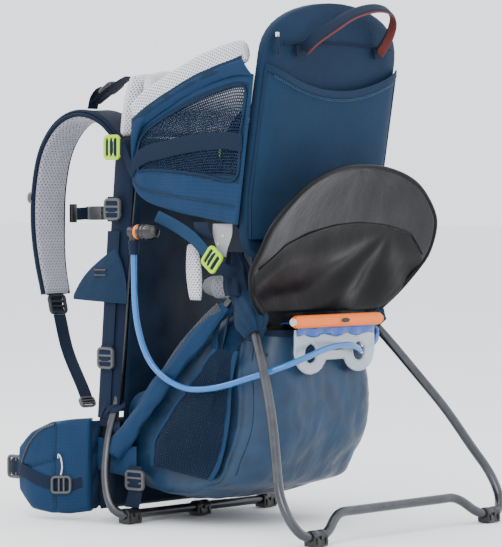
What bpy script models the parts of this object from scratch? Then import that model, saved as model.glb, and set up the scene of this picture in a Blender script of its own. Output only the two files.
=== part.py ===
"""Framed child carrier backpack: tube frame with a folding kickstand, a padded back,
a child seat between two side wings, a lower bag with a lid and a drinking reservoir.

Units are metres, +Z is up and +Y is the side that the wearer stands on, so the
kickstand is towards -Y and the wearer's left is -X.  Shapes are drawn in the stance
frame, whose Y origin is midway between the front and rear feet.  The root empty then
moves everything so that the origin lies on the floor under the middle of the model.
"""
import math

import bmesh
import bpy
from mathutils import Vector

# ---- driving dimensions -------------------------------------------------------
TOTAL_HEIGHT = 0.700          # floor to the top of the child's headrest
PACK_HALF_WIDTH = 0.130       # half the width of the back panel
TUBE_RADIUS = 0.00625         # outer radius of every frame tube
FRONT_FOOT_Y = 0.181          # front base tube, ahead of the stance origin
STAND_FOOT_Y = -0.179         # kickstand base, behind the stance origin
FOOT_CLIP = (0.030, 0.022, 0.021)   # foot clip: length, depth, height
STRUT_RADIUS = 0.005
TUBE_FLOOR_GAP = 0.0058       # plastic under a tube where a foot clip holds it
PIVOT_Y = 0.012               # kickstand hinge line
PIVOT_Z = 0.326
PIVOT_INSET = 0.032           # hinge line's end, inboard of the pack's side
PIN_RADIUS = 0.004
PIN_CLEARANCE = 0.0001        # radial running clearance of the hinge pin
EYELET_RADIUS = 0.011
EYELET_WIDTH = 0.010
LEG_TOP_DROP = 0.0192         # from the hinge line to the top of the leg's tube
LEG_TOP_SLOPE = 31.0          # degrees that the legs lean back
BACK_PAD_THICKNESS = 0.026
BACK_PAD_BOTTOM = 0.146
BACK_PAD_TOP = 0.522
BACK_LEAN = 0.0755            # the wearer's side of the back moves this far per metre up
BACK_FACE_Y = 0.262           # that face, produced down to the floor
LUMBAR_TOP = 0.140
LUMBAR_BOTTOM = 0.012
NECK_PAD_TOP = 0.612
BAG_TOP = 0.262
BAG_WALL = 0.006
BAG_MOUTH_Y = 0.014           # front edge of the rear compartment's mouth
BAG_MOUTH_Z = 0.284
FRONT_WALL_THICKNESS = 0.004
BACKREST_BOTTOM = 0.300
BACKREST_THICKNESS = 0.028
BACKREST_EXTRA_WIDTH = 0.009  # the backrest is wider than the back panel by this a side
WING_GAP = 0.002              # between the backrest's side and a wing's inner face
WING_THICKNESS = 0.008
RIM_WIDTH = 0.020
RIM_HEIGHT = 0.034
SEAT_TOP = 0.335
SEAT_THICKNESS = 0.030
LID_THICKNESS = 0.005
LID_HINGE_Y = -0.033
LID_HINGE_Z = 0.281
SLIDER_LENGTH = 2 * (PACK_HALF_WIDTH - 0.0385)
SLIDER_RADIUS = 0.0085
SLIDER_Y = -0.064
SLIDER_Z = 0.277
FILM_THICKNESS = 0.002
FILM_HALF_WIDTH = PACK_HALF_WIDTH * 8 / 13   # clear of the bag's rounded rear corners
GRIP_HALF_WIDTH = PACK_HALF_WIDTH - 0.047
GRIP_THICKNESS = 0.003
GRIP_HOLE_X = PACK_HALF_WIDTH - 0.079
GRIP_HOLE_RADIUS = 0.0135
HOSE_RADIUS = 0.0042
VALVE_RADIUS = 0.0105
STRAP_WIDTH = 0.062           # padded shoulder strap
STRAP_THICKNESS = 0.013
WEBBING_WIDTH = 0.025
WEBBING_THICKNESS = 0.002
BUCKLE_WIDTH = 0.032
BUCKLE_LENGTH = 0.028
BUCKLE_THICKNESS = 0.006
BUCKLE_BAR = 0.0045
FIN_THICKNESS = 0.022
HIP_BUCKLE_FRONT = 0.392      # foremost point of the model, in the stance frame
TOUCH = 0.0003                # gap left between pieces that touch

BACKREST_HALF_WIDTH = PACK_HALF_WIDTH + BACKREST_EXTRA_WIDTH
WING_INNER_X = BACKREST_HALF_WIDTH + WING_GAP
WING_OUTER_X = WING_INNER_X + WING_THICKNESS
PIVOT_X = PACK_HALF_WIDTH - PIVOT_INSET
TUBE_Z = TUBE_FLOOR_GAP + TUBE_RADIUS
STAND_REAR = STAND_FOOT_Y - FOOT_CLIP[1] / 2
MIDDLE_Y = (HIP_BUCKLE_FRONT + STAND_REAR) / 2

SIDES = {"left": -1, "right": 1}
X_AXIS = Vector((1, 0, 0))
Y_AXIS = Vector((0, 1, 0))
Z_AXIS = Vector((0, 0, 1))


# ---- lines that several pieces share -------------------------------------------
def back_face(z):
    """Y of the wearer's side of the back padding at height z."""
    return BACK_FACE_Y - BACK_LEAN * z


def upright_line(z):
    """Y of the centre of the frame uprights, just behind the back pad."""
    return back_face(z) - BACK_PAD_THICKNESS - TOUCH - TUBE_RADIUS


def bag_front(z):
    """Y of the bag's front, behind the uprights and the front wall."""
    return upright_line(z) - TUBE_RADIUS - FRONT_WALL_THICKNESS - 0.008


def backrest_rear(z):
    """Y of the rear face of the child's backrest, which leans back above the lid."""
    lean_start = 0.44
    return -0.030 - 0.165 * max(0.0, z - lean_start)


# ---- scene and materials --------------------------------------------------------
def clear_scene():
    for item in list(bpy.data.objects):
        bpy.data.objects.remove(item, do_unlink=True)


def material(name, colour, roughness, metallic=0.0):
    made = bpy.data.materials.get(name)
    if made is None:
        made = bpy.data.materials.new(name)
        made.use_nodes = True
        shader = made.node_tree.nodes["Principled BSDF"]
        shader.inputs["Base Color"].default_value = (*colour, 1.0)
        shader.inputs["Roughness"].default_value = roughness
        shader.inputs["Metallic"].default_value = metallic
        made.diffuse_color = (*colour, 1.0)
    return made


def tube_metal():
    return material("tube_metal", (0.045, 0.047, 0.052), 0.35, 0.8)


def blue_fabric():
    return material("blue_fabric", (0.028, 0.072, 0.145), 0.75)


def navy_fabric():
    return material("navy_fabric", (0.012, 0.025, 0.055), 0.8)


def grey_mesh():
    return material("grey_mesh", (0.55, 0.55, 0.56), 0.85)


def white_mesh():
    return material("white_mesh", (0.72, 0.72, 0.73), 0.85)


def black_fabric():
    return material("black_fabric", (0.012, 0.012, 0.014), 0.8)


def grey_plastic():
    return material("grey_plastic", (0.16, 0.17, 0.19), 0.45)


def lime_plastic():
    return material("lime_plastic", (0.55, 0.80, 0.02), 0.4)


def orange_plastic():
    return material("orange_plastic", (0.85, 0.22, 0.03), 0.3)


def clear_plastic():
    return material("clear_plastic", (0.75, 0.80, 0.82), 0.25)


def blue_film():
    return material("blue_film", (0.05, 0.30, 0.65), 0.25)


def black_rubber():
    return material("black_rubber", (0.012, 0.012, 0.013), 0.6)


# ---- placing --------------------------------------------------------------------
def make_root():
    root = bpy.data.objects.new("carrier_root", None)
    root.location = (0.0, -MIDDLE_Y, 0.0)
    bpy.context.scene.collection.objects.link(root)
    return root


def make_joint(name, place, root):
    """An empty on a joint's axis, which the pieces of the moving body hang from."""
    joint = bpy.data.objects.new(name, None)
    joint.location = place
    joint.parent = root
    bpy.context.scene.collection.objects.link(joint)
    return joint


def place(piece, parent):
    """Hang a piece, drawn in the stance frame, from the root or from a joint's empty."""
    if piece.name not in bpy.context.scene.collection.objects:
        bpy.context.scene.collection.objects.link(piece)
    piece.parent = parent
    if parent.parent is not None:
        piece.location = -parent.location
    return piece


# ---- shape helpers --------------------------------------------------------------
def smooth_route(points, step):
    """Points about a step apart on a Catmull-Rom curve through the given points."""
    knots = [Vector(point) for point in points]
    ends = [2 * knots[0] - knots[1]] + knots + [2 * knots[-1] - knots[-2]]
    route = [knots[0]]
    for index in range(len(knots) - 1):
        a, b, c, d = ends[index:index + 4]
        count = max(1, round((c - b).length / step))
        for part in range(1, count + 1):
            t = part / count
            route.append(0.5 * (2 * b + (c - a) * t + (2 * a - 5 * b + 4 * c - d) * t ** 2
                                + (3 * b - 3 * c + d - a) * t ** 3))
    return route


def mirror(points, side):
    """Points drawn for the right side, put on the given side."""
    return [Vector((side * point[0], point[1], point[2])) for point in points]


def mesh_piece(name, verts, faces, finish, smooth_angle=40):
    mesh = bpy.data.meshes.new(name)
    mesh.from_pydata([tuple(vert) for vert in verts], [], faces)
    shape = bmesh.new()
    shape.from_mesh(mesh)
    bmesh.ops.recalc_face_normals(shape, faces=shape.faces)
    shape.to_mesh(mesh)
    shape.free()
    mesh.shade_smooth()
    mesh.set_sharp_from_angle(angle=math.radians(smooth_angle))
    mesh.materials.append(finish)
    return bpy.data.objects.new(name, mesh)


def tube(name, route, radius, finish, resolution=2):
    curve = bpy.data.curves.new(name, "CURVE")
    curve.dimensions = "3D"
    curve.bevel_depth = radius
    curve.bevel_resolution = resolution
    curve.use_fill_caps = True
    spline = curve.splines.new("POLY")
    spline.points.add(len(route) - 1)
    for point, spot in zip(spline.points, route):
        point.co = (*spot, 1.0)
    spline.use_smooth = True
    curve.materials.append(finish)
    return bpy.data.objects.new(name, curve)


def loft(name, rings, finish, smooth_angle=40):
    """A closed skin over rings of the same number of points, capped at both ends."""
    count = len(rings[0])
    verts = [point for ring in rings for point in ring]
    faces = []
    for row in range(len(rings) - 1):
        for column in range(count):
            following = (column + 1) % count
            faces.append((row * count + column, row * count + following,
                          (row + 1) * count + following, (row + 1) * count + column))
    faces.append(tuple(range(count)))
    faces.append(tuple((len(rings) - 1) * count + column for column in range(count)))
    return mesh_piece(name, verts, faces, finish, smooth_angle)


def ribbon(name, route, across, width, thickness, finish):
    """A flat strap along a route; across is the direction of its width."""
    rings = []
    for index, spot in enumerate(route):
        before = route[max(0, index - 1)]
        after = route[min(len(route) - 1, index + 1)]
        along = (after - before).normalized()
        wide = (Vector(across) - along * along.dot(Vector(across))).normalized()
        flat = along.cross(wide)
        half_width = wide * width / 2
        half_thick = flat * thickness / 2
        rings.append([spot - half_width - half_thick, spot + half_width - half_thick,
                      spot + half_width + half_thick, spot - half_width + half_thick])
    return loft(name, rings, finish)


def slab(name, outline, across, low, high, finish):
    """An outline given in the plane square to an axis, extruded from low to high."""
    axis = "XYZ".index(across)

    def corner(pair, level):
        spot = list(pair)
        spot.insert(axis, level)
        return Vector(spot)

    rings = [[corner(pair, low) for pair in outline], [corner(pair, high) for pair in outline]]
    return loft(name, rings, finish, smooth_angle=30)


def rounded_box_ring(half_width, y_low, y_high, z, corner, steps=3):
    """A ring at height z: a rectangle in X and Y with round corners."""
    corner = min(corner, half_width * 0.9, (y_high - y_low) / 2 * 0.98)
    centres = ((half_width - corner, y_high - corner, 0), (-half_width + corner, y_high - corner, 90),
               (-half_width + corner, y_low + corner, 180), (half_width - corner, y_low + corner, 270))
    ring = []
    for x, y, start in centres:
        for step in range(steps + 1):
            turn = math.radians(start + 90 * step / steps)
            ring.append(Vector((x + corner * math.cos(turn), y + corner * math.sin(turn), z)))
    return ring


def bevelled(piece, width, segments=2):
    bevel = piece.modifiers.new("soft_edges", "BEVEL")
    bevel.width = width
    bevel.segments = segments
    bevel.limit_method = "ANGLE"
    bevel.angle_limit = math.radians(45)
    bevel.use_clamp_overlap = True
    return piece


def cylinder(name, start, end, radius, finish, sides=16):
    axis = Vector(end) - Vector(start)
    turn = Z_AXIS.rotation_difference(axis.normalized()).to_matrix()
    rings = []
    for spot in (Vector(start), Vector(end)):
        rings.append([spot + turn @ Vector((radius * math.cos(math.tau * step / sides),
                                            radius * math.sin(math.tau * step / sides), 0))
                      for step in range(sides)])
    return loft(name, rings, finish, smooth_angle=50)


def pipe(name, route, radius, finish, sides=16):
    """A round bar along a route that runs roughly along X."""
    rings = []
    for index, spot in enumerate(route):
        along = (route[min(index + 1, len(route) - 1)] - route[max(index - 1, 0)]).normalized()
        level = along.cross(Z_AXIS).normalized()
        upward = level.cross(along)
        rings.append([spot + level * (radius * math.cos(math.tau * step / sides))
                      + upward * (radius * math.sin(math.tau * step / sides)) for step in range(sides)])
    return loft(name, rings, finish, smooth_angle=50)


def cut(piece, cutter, root):
    """Take the cutter's shape out of a piece, with a Boolean that stays on it."""
    place(cutter, root)
    cutter.hide_render = True
    cutter.display_type = "WIRE"
    opening = piece.modifiers.new("cut_" + cutter.name, "BOOLEAN")
    opening.operation = "DIFFERENCE"
    opening.solver = "EXACT"
    opening.object = cutter
    return piece


def turned_box(name, centre, along, across, size, finish):
    """A box: size is its length along, its width across and its thickness."""
    along = Vector(along).normalized()
    across = (Vector(across) - along * along.dot(Vector(across))).normalized()
    flat = along.cross(across)
    length, width, thick = (side / 2 for side in size)
    rings = []
    for sign in (-1, 1):
        middle = Vector(centre) + sign * along * length
        rings.append([middle - across * width - flat * thick, middle + across * width - flat * thick,
                      middle + across * width + flat * thick, middle - across * width + flat * thick])
    return loft(name, rings, finish, smooth_angle=30)


def ladder_lock(name, centre, along, across, finish, parent, root):
    """A strap adjuster: a frame with one bar across it between two webbing slots."""
    body = turned_box(name, centre, along, across,
                      (BUCKLE_LENGTH, BUCKLE_WIDTH, BUCKLE_THICKNESS), finish)
    place(body, parent)
    along = Vector(along).normalized()
    slot = (BUCKLE_LENGTH - 3 * BUCKLE_BAR) / 2
    width = BUCKLE_WIDTH - 2 * BUCKLE_BAR
    for label, sign in (("a", -1), ("b", 1)):
        middle = Vector(centre) + sign * along * (BUCKLE_BAR + slot) / 2
        cutter = turned_box(name + "_slot_" + label, middle, along, across,
                            (slot, width, 4 * BUCKLE_THICKNESS), finish)
        cut(body, cutter, root)
    return body


# ---- tube frame -----------------------------------------------------------------
def front_frame(root):
    """One tube: up the left side, across the base under the bag, up the right side."""
    right = [(PACK_HALF_WIDTH - 0.022, upright_line(0.540), 0.540),
             (PACK_HALF_WIDTH - 0.013, upright_line(0.420), 0.420),
             (PACK_HALF_WIDTH - 0.009, upright_line(0.300), 0.300),
             (PACK_HALF_WIDTH - 0.003, upright_line(0.180), 0.180),
             (PACK_HALF_WIDTH + 0.013, upright_line(0.110), 0.110),
             (PACK_HALF_WIDTH + 0.030, FRONT_FOOT_Y + 0.029, 0.060),
             (PACK_HALF_WIDTH + 0.036, FRONT_FOOT_Y + 0.014, TUBE_Z + 0.014),
             (PACK_HALF_WIDTH + 0.028, FRONT_FOOT_Y + 0.002, TUBE_Z + 0.0015),
             (PACK_HALF_WIDTH + 0.012, FRONT_FOOT_Y, TUBE_Z)]
    base = [Vector((0.0, FRONT_FOOT_Y, TUBE_Z))]
    route = smooth_route(mirror(right, -1) + base + mirror(right, 1)[::-1], 0.012)
    place(tube("front_frame_tube", route, TUBE_RADIUS, tube_metal()), root)
    front_feet(route, root)
    height = 0.500
    reach = PACK_HALF_WIDTH - 0.020 - TUBE_RADIUS - TOUCH
    ends = [Vector((side * reach, upright_line(height), height)) for side in (-1, 1)]
    place(tube("frame_crossbar", ends, STRUT_RADIUS, tube_metal()), root)


def foot_clip(name, x, y, route, parent, root):
    """A plastic clip round a base tube, bored along the tube; its flat base is the foot."""
    length, depth, height = FOOT_CLIP
    clip = turned_box(name, (x, y, height / 2), X_AXIS, Y_AXIS, (length, depth, height), grey_plastic())
    bevelled(clip, 0.003)
    place(clip, parent)
    held = [spot for spot in route if abs(spot.x - x) < 1.5 * length and spot.z < TUBE_Z + 0.010]
    bore = pipe(name + "_bore", held, TUBE_RADIUS + 2 * TOUCH, grey_plastic())
    cut(clip, bore, root)


def front_feet(route, root):
    spots = {"front_foot_left": -(PACK_HALF_WIDTH + 0.012), "front_foot_middle": 0.0,
             "front_foot_right": PACK_HALF_WIDTH + 0.012}
    for name, x in spots.items():
        foot_clip(name, x, FRONT_FOOT_Y, route, root, root)


def strut_line(z):
    """Y of the side struts, which run down and forward from the hinge to the base."""
    low, high = strut_ends()
    return low.y + (high.y - low.y) * (z - low.z) / (high.z - low.z)


def strut_ends():
    """Lower and upper end of the right side strut's centre line."""
    low_z = 0.100
    low = Vector((PACK_HALF_WIDTH + 0.009, upright_line(low_z) - 2 * TUBE_RADIUS - 0.002, low_z))
    high = Vector((PIVOT_X + EYELET_WIDTH / 2 + 0.009, PIVOT_Y + 0.0145, PIVOT_Z - 0.0200))
    return low, high


def side_struts(root):
    """A strut from each side of the base up and back to the kickstand's hinge bracket."""
    for label, side in SIDES.items():
        low, high = strut_ends()
        bowed = (low + high) / 2 + X_AXIS * 0.009
        route = smooth_route(mirror([low, bowed, high], side), 0.030)
        place(tube("side_strut_" + label, route, STRUT_RADIUS, tube_metal()), root)


def hinge_brackets(root):
    """Each bracket is one cheek outboard of the leg's eyelet, on a pin through both."""
    for label, side in SIDES.items():
        inner = PIVOT_X + EYELET_WIDTH / 2 + TOUCH * 2
        above = 0.017
        below = LEG_TOP_DROP - TUBE_RADIUS - 0.0008
        outline = []
        for turn in (math.tau * step / 24 for step in range(24)):
            reach = above if math.sin(turn) > -0.1 else below
            outline.append((PIVOT_Y + reach * math.cos(turn), PIVOT_Z + reach * math.sin(turn)))
        low, high = sorted((side * inner, side * (inner + 0.014)))
        bracket = slab("hinge_bracket_" + label, outline, "X", low, high, grey_plastic())
        place(bracket, root)
        hole = cylinder("hinge_bracket_hole_" + label, (side * (inner - 0.01), PIVOT_Y, PIVOT_Z),
                        (side * (inner + 0.03), PIVOT_Y, PIVOT_Z), PIN_RADIUS + TOUCH, grey_plastic())
        cut(bracket, hole, root)
        pin_start = PIVOT_X - EYELET_WIDTH / 2 - 0.003
        pin = cylinder("hinge_pin_" + label, (side * pin_start, PIVOT_Y, PIVOT_Z),
                       (side * (inner + 0.015), PIVOT_Y, PIVOT_Z), PIN_RADIUS, tube_metal())
        place(pin, root)


# ---- kickstand -------------------------------------------------------------------
def stand_points():
    """The right half of the kickstand, from under its eyelet to the base's middle."""
    pivot_x = PIVOT_X
    slope = math.radians(LEG_TOP_SLOPE)
    straight = LEG_TOP_DROP + 0.013
    top = (pivot_x, PIVOT_Y - LEG_TOP_DROP * math.sin(slope), PIVOT_Z - LEG_TOP_DROP * math.cos(slope))
    neck_end = (pivot_x, PIVOT_Y - straight * math.sin(slope), PIVOT_Z - straight * math.cos(slope))
    return [top, neck_end,
            (pivot_x + 0.023, PIVOT_Y - 0.029, PIVOT_Z - 0.049),
            (pivot_x + 0.037, PIVOT_Y - 0.051, PIVOT_Z - 0.076),
            (pivot_x + 0.061, PIVOT_Y - 0.086, PIVOT_Z - 0.126),
            (pivot_x + 0.086, PIVOT_Y - 0.118, PIVOT_Z - 0.176),
            (pivot_x + 0.109, PIVOT_Y - 0.144, PIVOT_Z - 0.226),
            (pivot_x + 0.123, STAND_FOOT_Y + 0.031, 0.070),
            (pivot_x + 0.1265, STAND_FOOT_Y + 0.020, 0.050),
            (pivot_x + 0.124, STAND_FOOT_Y + 0.0105, 0.032),
            (pivot_x + 0.113, STAND_FOOT_Y + 0.003, TUBE_Z + 0.0045),
            (pivot_x + 0.098, STAND_FOOT_Y, TUBE_Z),
            (pivot_x + 0.076, STAND_FOOT_Y, TUBE_Z),
            (pivot_x + 0.058, STAND_FOOT_Y + 0.003, TUBE_Z + 0.006),
            (pivot_x + 0.038, STAND_FOOT_Y + 0.009, TUBE_Z + 0.019),
            (pivot_x + 0.020, STAND_FOOT_Y + 0.012, TUBE_Z + 0.025),
            (pivot_x - 0.010, STAND_FOOT_Y + 0.012, TUBE_Z + 0.0255)]


def kickstand(joint, root):
    right = stand_points()
    base = [Vector((0.0, right[-1][1], right[-1][2]))]
    route = smooth_route(mirror(right, -1) + base + mirror(right, 1)[::-1], 0.013)
    place(tube("kickstand_tube", route, TUBE_RADIUS, tube_metal()), joint)
    for label, side in SIDES.items():
        leg_top = Vector((side * right[0][0], right[0][1], right[0][2]))
        leg_next = Vector((side * right[1][0], right[1][1], right[1][2]))
        eyelet_forging(label, side, leg_top, (leg_next - leg_top).normalized(), joint, root)
        foot_clip("kickstand_foot_" + label, side * (PIVOT_X + 0.087), STAND_FOOT_Y, route, joint, root)


def eyelet_forging(label, side, leg_top, down, joint, root):
    """The flattened end of a leg: a ring on the hinge line and a neck to the tube."""
    centre = Vector((side * PIVOT_X, PIVOT_Y, PIVOT_Z))
    count = 16
    flat = [centre + Vector((0, EYELET_RADIUS * math.cos(turn), EYELET_RADIUS * math.sin(turn)))
            for turn in (math.tau * step / count for step in range(count))]
    rings = [[spot + X_AXIS * offset for spot in flat] for offset in (-EYELET_WIDTH / 2, EYELET_WIDTH / 2)]
    ring = loft("kickstand_eyelet_" + label, rings, tube_metal(), smooth_angle=50)
    end = leg_top - down * 3 * TOUCH
    start = centre + (end - centre) * 0.45
    neck = cylinder("kickstand_neck_" + label, start, end, EYELET_WIDTH / 2, tube_metal(), 12)
    place(ring, joint)
    place(neck, root)
    neck.hide_render = True
    neck.display_type = "WIRE"
    join = ring.modifiers.new("neck", "BOOLEAN")
    join.operation = "UNION"
    join.solver = "EXACT"
    join.object = neck
    bore = cylinder("kickstand_bore_" + label, centre - X_AXIS * EYELET_WIDTH, centre + X_AXIS * EYELET_WIDTH,
                    PIN_RADIUS + PIN_CLEARANCE, tube_metal(), 16)
    cut(ring, bore, root)


# ---- back padding and bag --------------------------------------------------------
def pad_between(name, z_low, z_high, half_low, half_high, rear, front, finish, rows=5, corner=0.010,
                inset=0.004):
    """An upright pad whose rear and front faces are functions of the height."""
    rings = []
    for row in range(rows + 1):
        t = row / rows
        z = z_low + (z_high - z_low) * t
        half = half_low + (half_high - half_low) * t
        shrink = 0.0 if 0 < row < rows else inset
        rings.append(rounded_box_ring(half - shrink, rear(z) + shrink, front(z) - shrink, z, corner))
    return loft(name, rings, finish)


def back_padding(root):
    def pad_rear(z):
        return back_face(z) - BACK_PAD_THICKNESS

    def neck_front(z):
        return back_face(z) - 0.22 * max(0.0, z - 0.585)

    place(pad_between("back_pad", BACK_PAD_BOTTOM, BACK_PAD_TOP, PACK_HALF_WIDTH, PACK_HALF_WIDTH - 0.004,
                      pad_rear, back_face, grey_mesh()), root)
    place(pad_between("neck_pad", BACK_PAD_TOP + TOUCH * 2, NECK_PAD_TOP, PACK_HALF_WIDTH - 0.004,
                      PACK_HALF_WIDTH - 0.016, pad_rear, neck_front,
                      white_mesh(), rows=4), root)
    place(pad_between("lumbar_pad", LUMBAR_BOTTOM, LUMBAR_TOP, PACK_HALF_WIDTH - 0.006, PACK_HALF_WIDTH - 0.002,
                      lambda z: pad_rear(z) + 0.002, lambda z: back_face(z) + 0.006,
                      navy_fabric(), rows=4, corner=0.012), root)


def front_wall(root):
    """The fabric wall between the child and the frame, stretched behind the uprights."""
    def front(z):
        return upright_line(z) - TUBE_RADIUS - 2 * TOUCH

    place(pad_between("front_wall", 0.125, 0.518, PACK_HALF_WIDTH - 0.004, PACK_HALF_WIDTH - 0.004,
                      lambda z: front(z) - FRONT_WALL_THICKNESS, front, navy_fabric(), rows=3,
                      corner=0.0015, inset=0.0), root)


def bag_rear(z):
    """Y of the middle of the bag's rear wall, which bulges and then rounds under."""
    rounding = 0.120
    t = min(1.0, max(0.0, (z - 0.030) / rounding))
    under = 0.110 * (1 - math.sqrt(1 - (1 - t) ** 2))
    return -0.040 + under - 0.011 * math.sin(math.pi * min(1.0, max(0.0, (z - 0.090) / 0.170)))


def bag_half_width(z):
    """The bag narrows above its middle, so that the kickstand's legs fold past it."""
    return PACK_HALF_WIDTH - 0.010 - 0.36 * max(0.0, z - 0.215)


def bag_outline(wall):
    """Side view of the bag, inset by a wall: down its rear, along its base, up its
    front, and back up the slope under the child's legs to the mouth's front edge."""
    rear = [(bag_rear(z) + wall, z) for z in (BAG_TOP, 0.235, 0.205, 0.170, 0.135, 0.105, 0.080, 0.060)]
    base = [(0.046, 0.046), (0.082, 0.0335), (0.122, 0.030), (0.155, 0.034), (0.182, 0.046)]
    front_y = bag_front(0.100)
    front = [(front_y, 0.066), (front_y, 0.120), (front_y - 0.004, 0.165)]
    slope = [(0.150, 0.192), (0.100, 0.228), (0.055, 0.262), (BAG_MOUTH_Y + 0.008, BAG_MOUTH_Z - 0.003),
             (BAG_MOUTH_Y, BAG_MOUTH_Z)]
    return (rear + [(y, z + wall) for y, z in base] + [(y - wall, z) for y, z in front]
            + [(y - wall, z - wall) for y, z in slope])


def bag_skin(name, wall, top_lift, finish):
    """The bag's outline carried across from side to side, its rear corners rounded."""
    rings = []
    for u in (-1.0, -0.95, -0.86, -0.73, -0.40, 0.0, 0.40, 0.73, 0.86, 0.95, 1.0):
        ring = []
        for index, (y, z) in enumerate(bag_outline(wall)):
            rearward = max(0.0, min(1.0, (0.090 - y) / 0.120))
            lifted = 0.012 * abs(u) ** 4 * max(0.0, 1 - (z - 0.030) / 0.040)
            top = top_lift if index == 0 or index == len(bag_outline(wall)) - 1 else 0.0
            ring.append(Vector((u * (bag_half_width(z) - wall), y + 0.050 * abs(u) ** 8 * rearward,
                                z + lifted + top)))
        rings.append(ring)
    return loft(name, rings, finish)


def pack_bag(root):
    bag = bag_skin("pack_bag", 0.0, 0.0, blue_fabric())
    place(bag, root)
    cut(bag, bag_skin("pack_bag_cavity", BAG_WALL, 0.030, navy_fabric()), root)


def side_pockets(root):
    """A mesh pocket on each side of the bag, narrower at its top so the legs fold past."""
    for label, side in SIDES.items():
        rings = []
        inner = PACK_HALF_WIDTH - 0.010 + TOUCH * 2
        rows = ((0.075, 0.060, 0.008), (0.090, 0.045, 0.014), (0.130, 0.032, 0.016), (0.170, 0.028, 0.012),
                (0.200, 0.026, 0.004))
        for z, rear, bulge in rows:
            front = min(0.158, strut_line(z) - STRUT_RADIUS - 0.010)
            outer = inner + bulge
            middle = (rear + front) / 2
            ring = [(inner, rear, z), (outer, rear + 0.3 * (middle - rear), z), (outer, front - 0.3 * (front - middle), z),
                    (inner, front, z)]
            rings.append(mirror(ring, side))
        place(loft("side_pocket_" + label, rings, navy_fabric(), 60), root)


# ---- child's seat ----------------------------------------------------------------
def child_backrest(root):
    """The upright panel behind the child, rounded over at the top as a headrest."""
    dome = 0.080
    between_hinges = PIVOT_X - EYELET_WIDTH / 2 - 0.009
    over_hinges = PIVOT_Z + 0.022
    rings = []
    for z in (BACKREST_BOTTOM, over_hinges):
        rings.append(rounded_box_ring(between_hinges, backrest_rear(z),
                                      backrest_rear(z) + BACKREST_THICKNESS, z, 0.011))
    for z in (over_hinges + 0.026, 0.420, 0.470, 0.520, 0.570, TOTAL_HEIGHT - dome):
        rings.append(rounded_box_ring(BACKREST_HALF_WIDTH, backrest_rear(z),
                                      backrest_rear(z) + BACKREST_THICKNESS, z, 0.011))
    base_y = backrest_rear(TOTAL_HEIGHT - dome)
    for part in (0.25, 0.45, 0.62, 0.77, 0.89, 0.97, 1.0):
        z = TOTAL_HEIGHT - dome + dome * part
        half = BACKREST_HALF_WIDTH * (1 - part ** 2.6) ** 0.5
        half = max(half, 0.020)
        thin = BACKREST_THICKNESS / 2 * (1 - 0.55 * part ** 4)
        middle = base_y + BACKREST_THICKNESS / 2 - 0.010 * part
        rings.append(rounded_box_ring(half, middle - thin, middle + thin, z, 0.011 * (1 - 0.3 * part)))
    place(loft("child_backrest", rings, blue_fabric()), root)


def wing_outline():
    """Side view of a wing: its lower, rear, upper and front edges."""
    return [(0.1720, 0.455), (0.1460, 0.434), (0.0900, 0.420), (0.0450, 0.413), (-0.0140, 0.404),
            (-0.0240, 0.456), (-0.0360, 0.540), (-0.0420, 0.601), (-0.0060, 0.602), (0.0640, 0.582),
            (0.1340, 0.549), (0.1600, 0.531), (0.1700, 0.494)]


def rim_route():
    """Centre line of the padded rim along the top of a wing, drawn for the right side."""
    x = (WING_INNER_X + WING_OUTER_X) / 2
    rear_end = backrest_rear(0.630) + BACKREST_THICKNESS + 0.006
    return [(x - 0.004, 0.168, 0.552), (x, 0.134, 0.573), (x, 0.064, 0.6055), (x, 0.010, 0.6225),
            (x - 0.001, rear_end, 0.632)]


def side_wing(label, side, parent, root):
    low, high = sorted((side * WING_INNER_X, side * WING_OUTER_X))
    place(bevelled(slab("wing_" + label, wing_outline(), "X", low, high, blue_fabric()), 0.002, 1), parent)
    route = smooth_route(mirror(rim_route(), side), 0.03)
    rings = []
    for index, spot in enumerate(route):
        along = (route[min(index + 1, len(route) - 1)] - route[max(index - 1, 0)]).normalized()
        wide = (X_AXIS - along * along.x).normalized()
        tall = wide.cross(along)
        end = index in (0, len(route) - 1)
        shrink = 0.7 if end else 1.0
        rings.append([spot + wide * (shrink * RIM_WIDTH / 2 * math.cos(turn))
                      + tall * (shrink * RIM_HEIGHT / 2 * math.sin(turn))
                      for turn in (math.tau * step / 10 for step in range(10))])
    place(loft("rim_pad_" + label, rings, white_mesh(), 60), parent)
    centre = Vector((side * (WING_OUTER_X + 0.0045), 0.2035, 0.508))
    ladder_lock("side_buckle_upper_" + label, centre, Y_AXIS, Z_AXIS, lime_plastic(), parent, root)


def wing_tensioners(root):
    """The strap under each wing's front corner, down to an adjuster beside the hinge."""
    for label, side in SIDES.items():
        x = WING_OUTER_X + WEBBING_THICKNESS / 2 + TOUCH
        route = smooth_route(mirror([(x, 0.1240, 0.4160), (x, 0.0900, 0.4030), (x, 0.0590, 0.3870),
                                     (x, 0.0360, 0.3680)], side), 0.02)
        place(ribbon("wing_strap_" + label, route, X_AXIS.cross(Vector((0, -0.8, -0.5))), WEBBING_WIDTH * 0.8 * 0.9,
                     WEBBING_THICKNESS, blue_fabric()), root)
        down = (route[-1] - route[-2]).normalized()
        centre = route[-1] + down * (BUCKLE_LENGTH / 2 + TOUCH)
        across = X_AXIS.cross(down)
        ladder_lock("side_buckle_lower_" + label, centre, down, across, lime_plastic(), root, root)


def chin_pad(root):
    """The fleece pad in front of the child, along the top of the back."""
    rings = []
    half = WING_INNER_X - 0.012
    steps = 8
    for step in range(steps + 1):
        x = -half + 2 * half * step / steps
        bow = 0.012 * (1 - (x / half) ** 2)
        y = 0.158 + bow
        z = 0.586 + 0.004 * (x / half) ** 2
        shrink = 0.75 if step in (0, steps) else 1.0
        rings.append([Vector((x, y + shrink * 0.016 * math.cos(turn), z + shrink * 0.028 * math.sin(turn)))
                      for turn in (math.tau * part / 10 for part in range(10))])
    place(loft("chin_pad", rings, grey_mesh(), 60), root)


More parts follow.
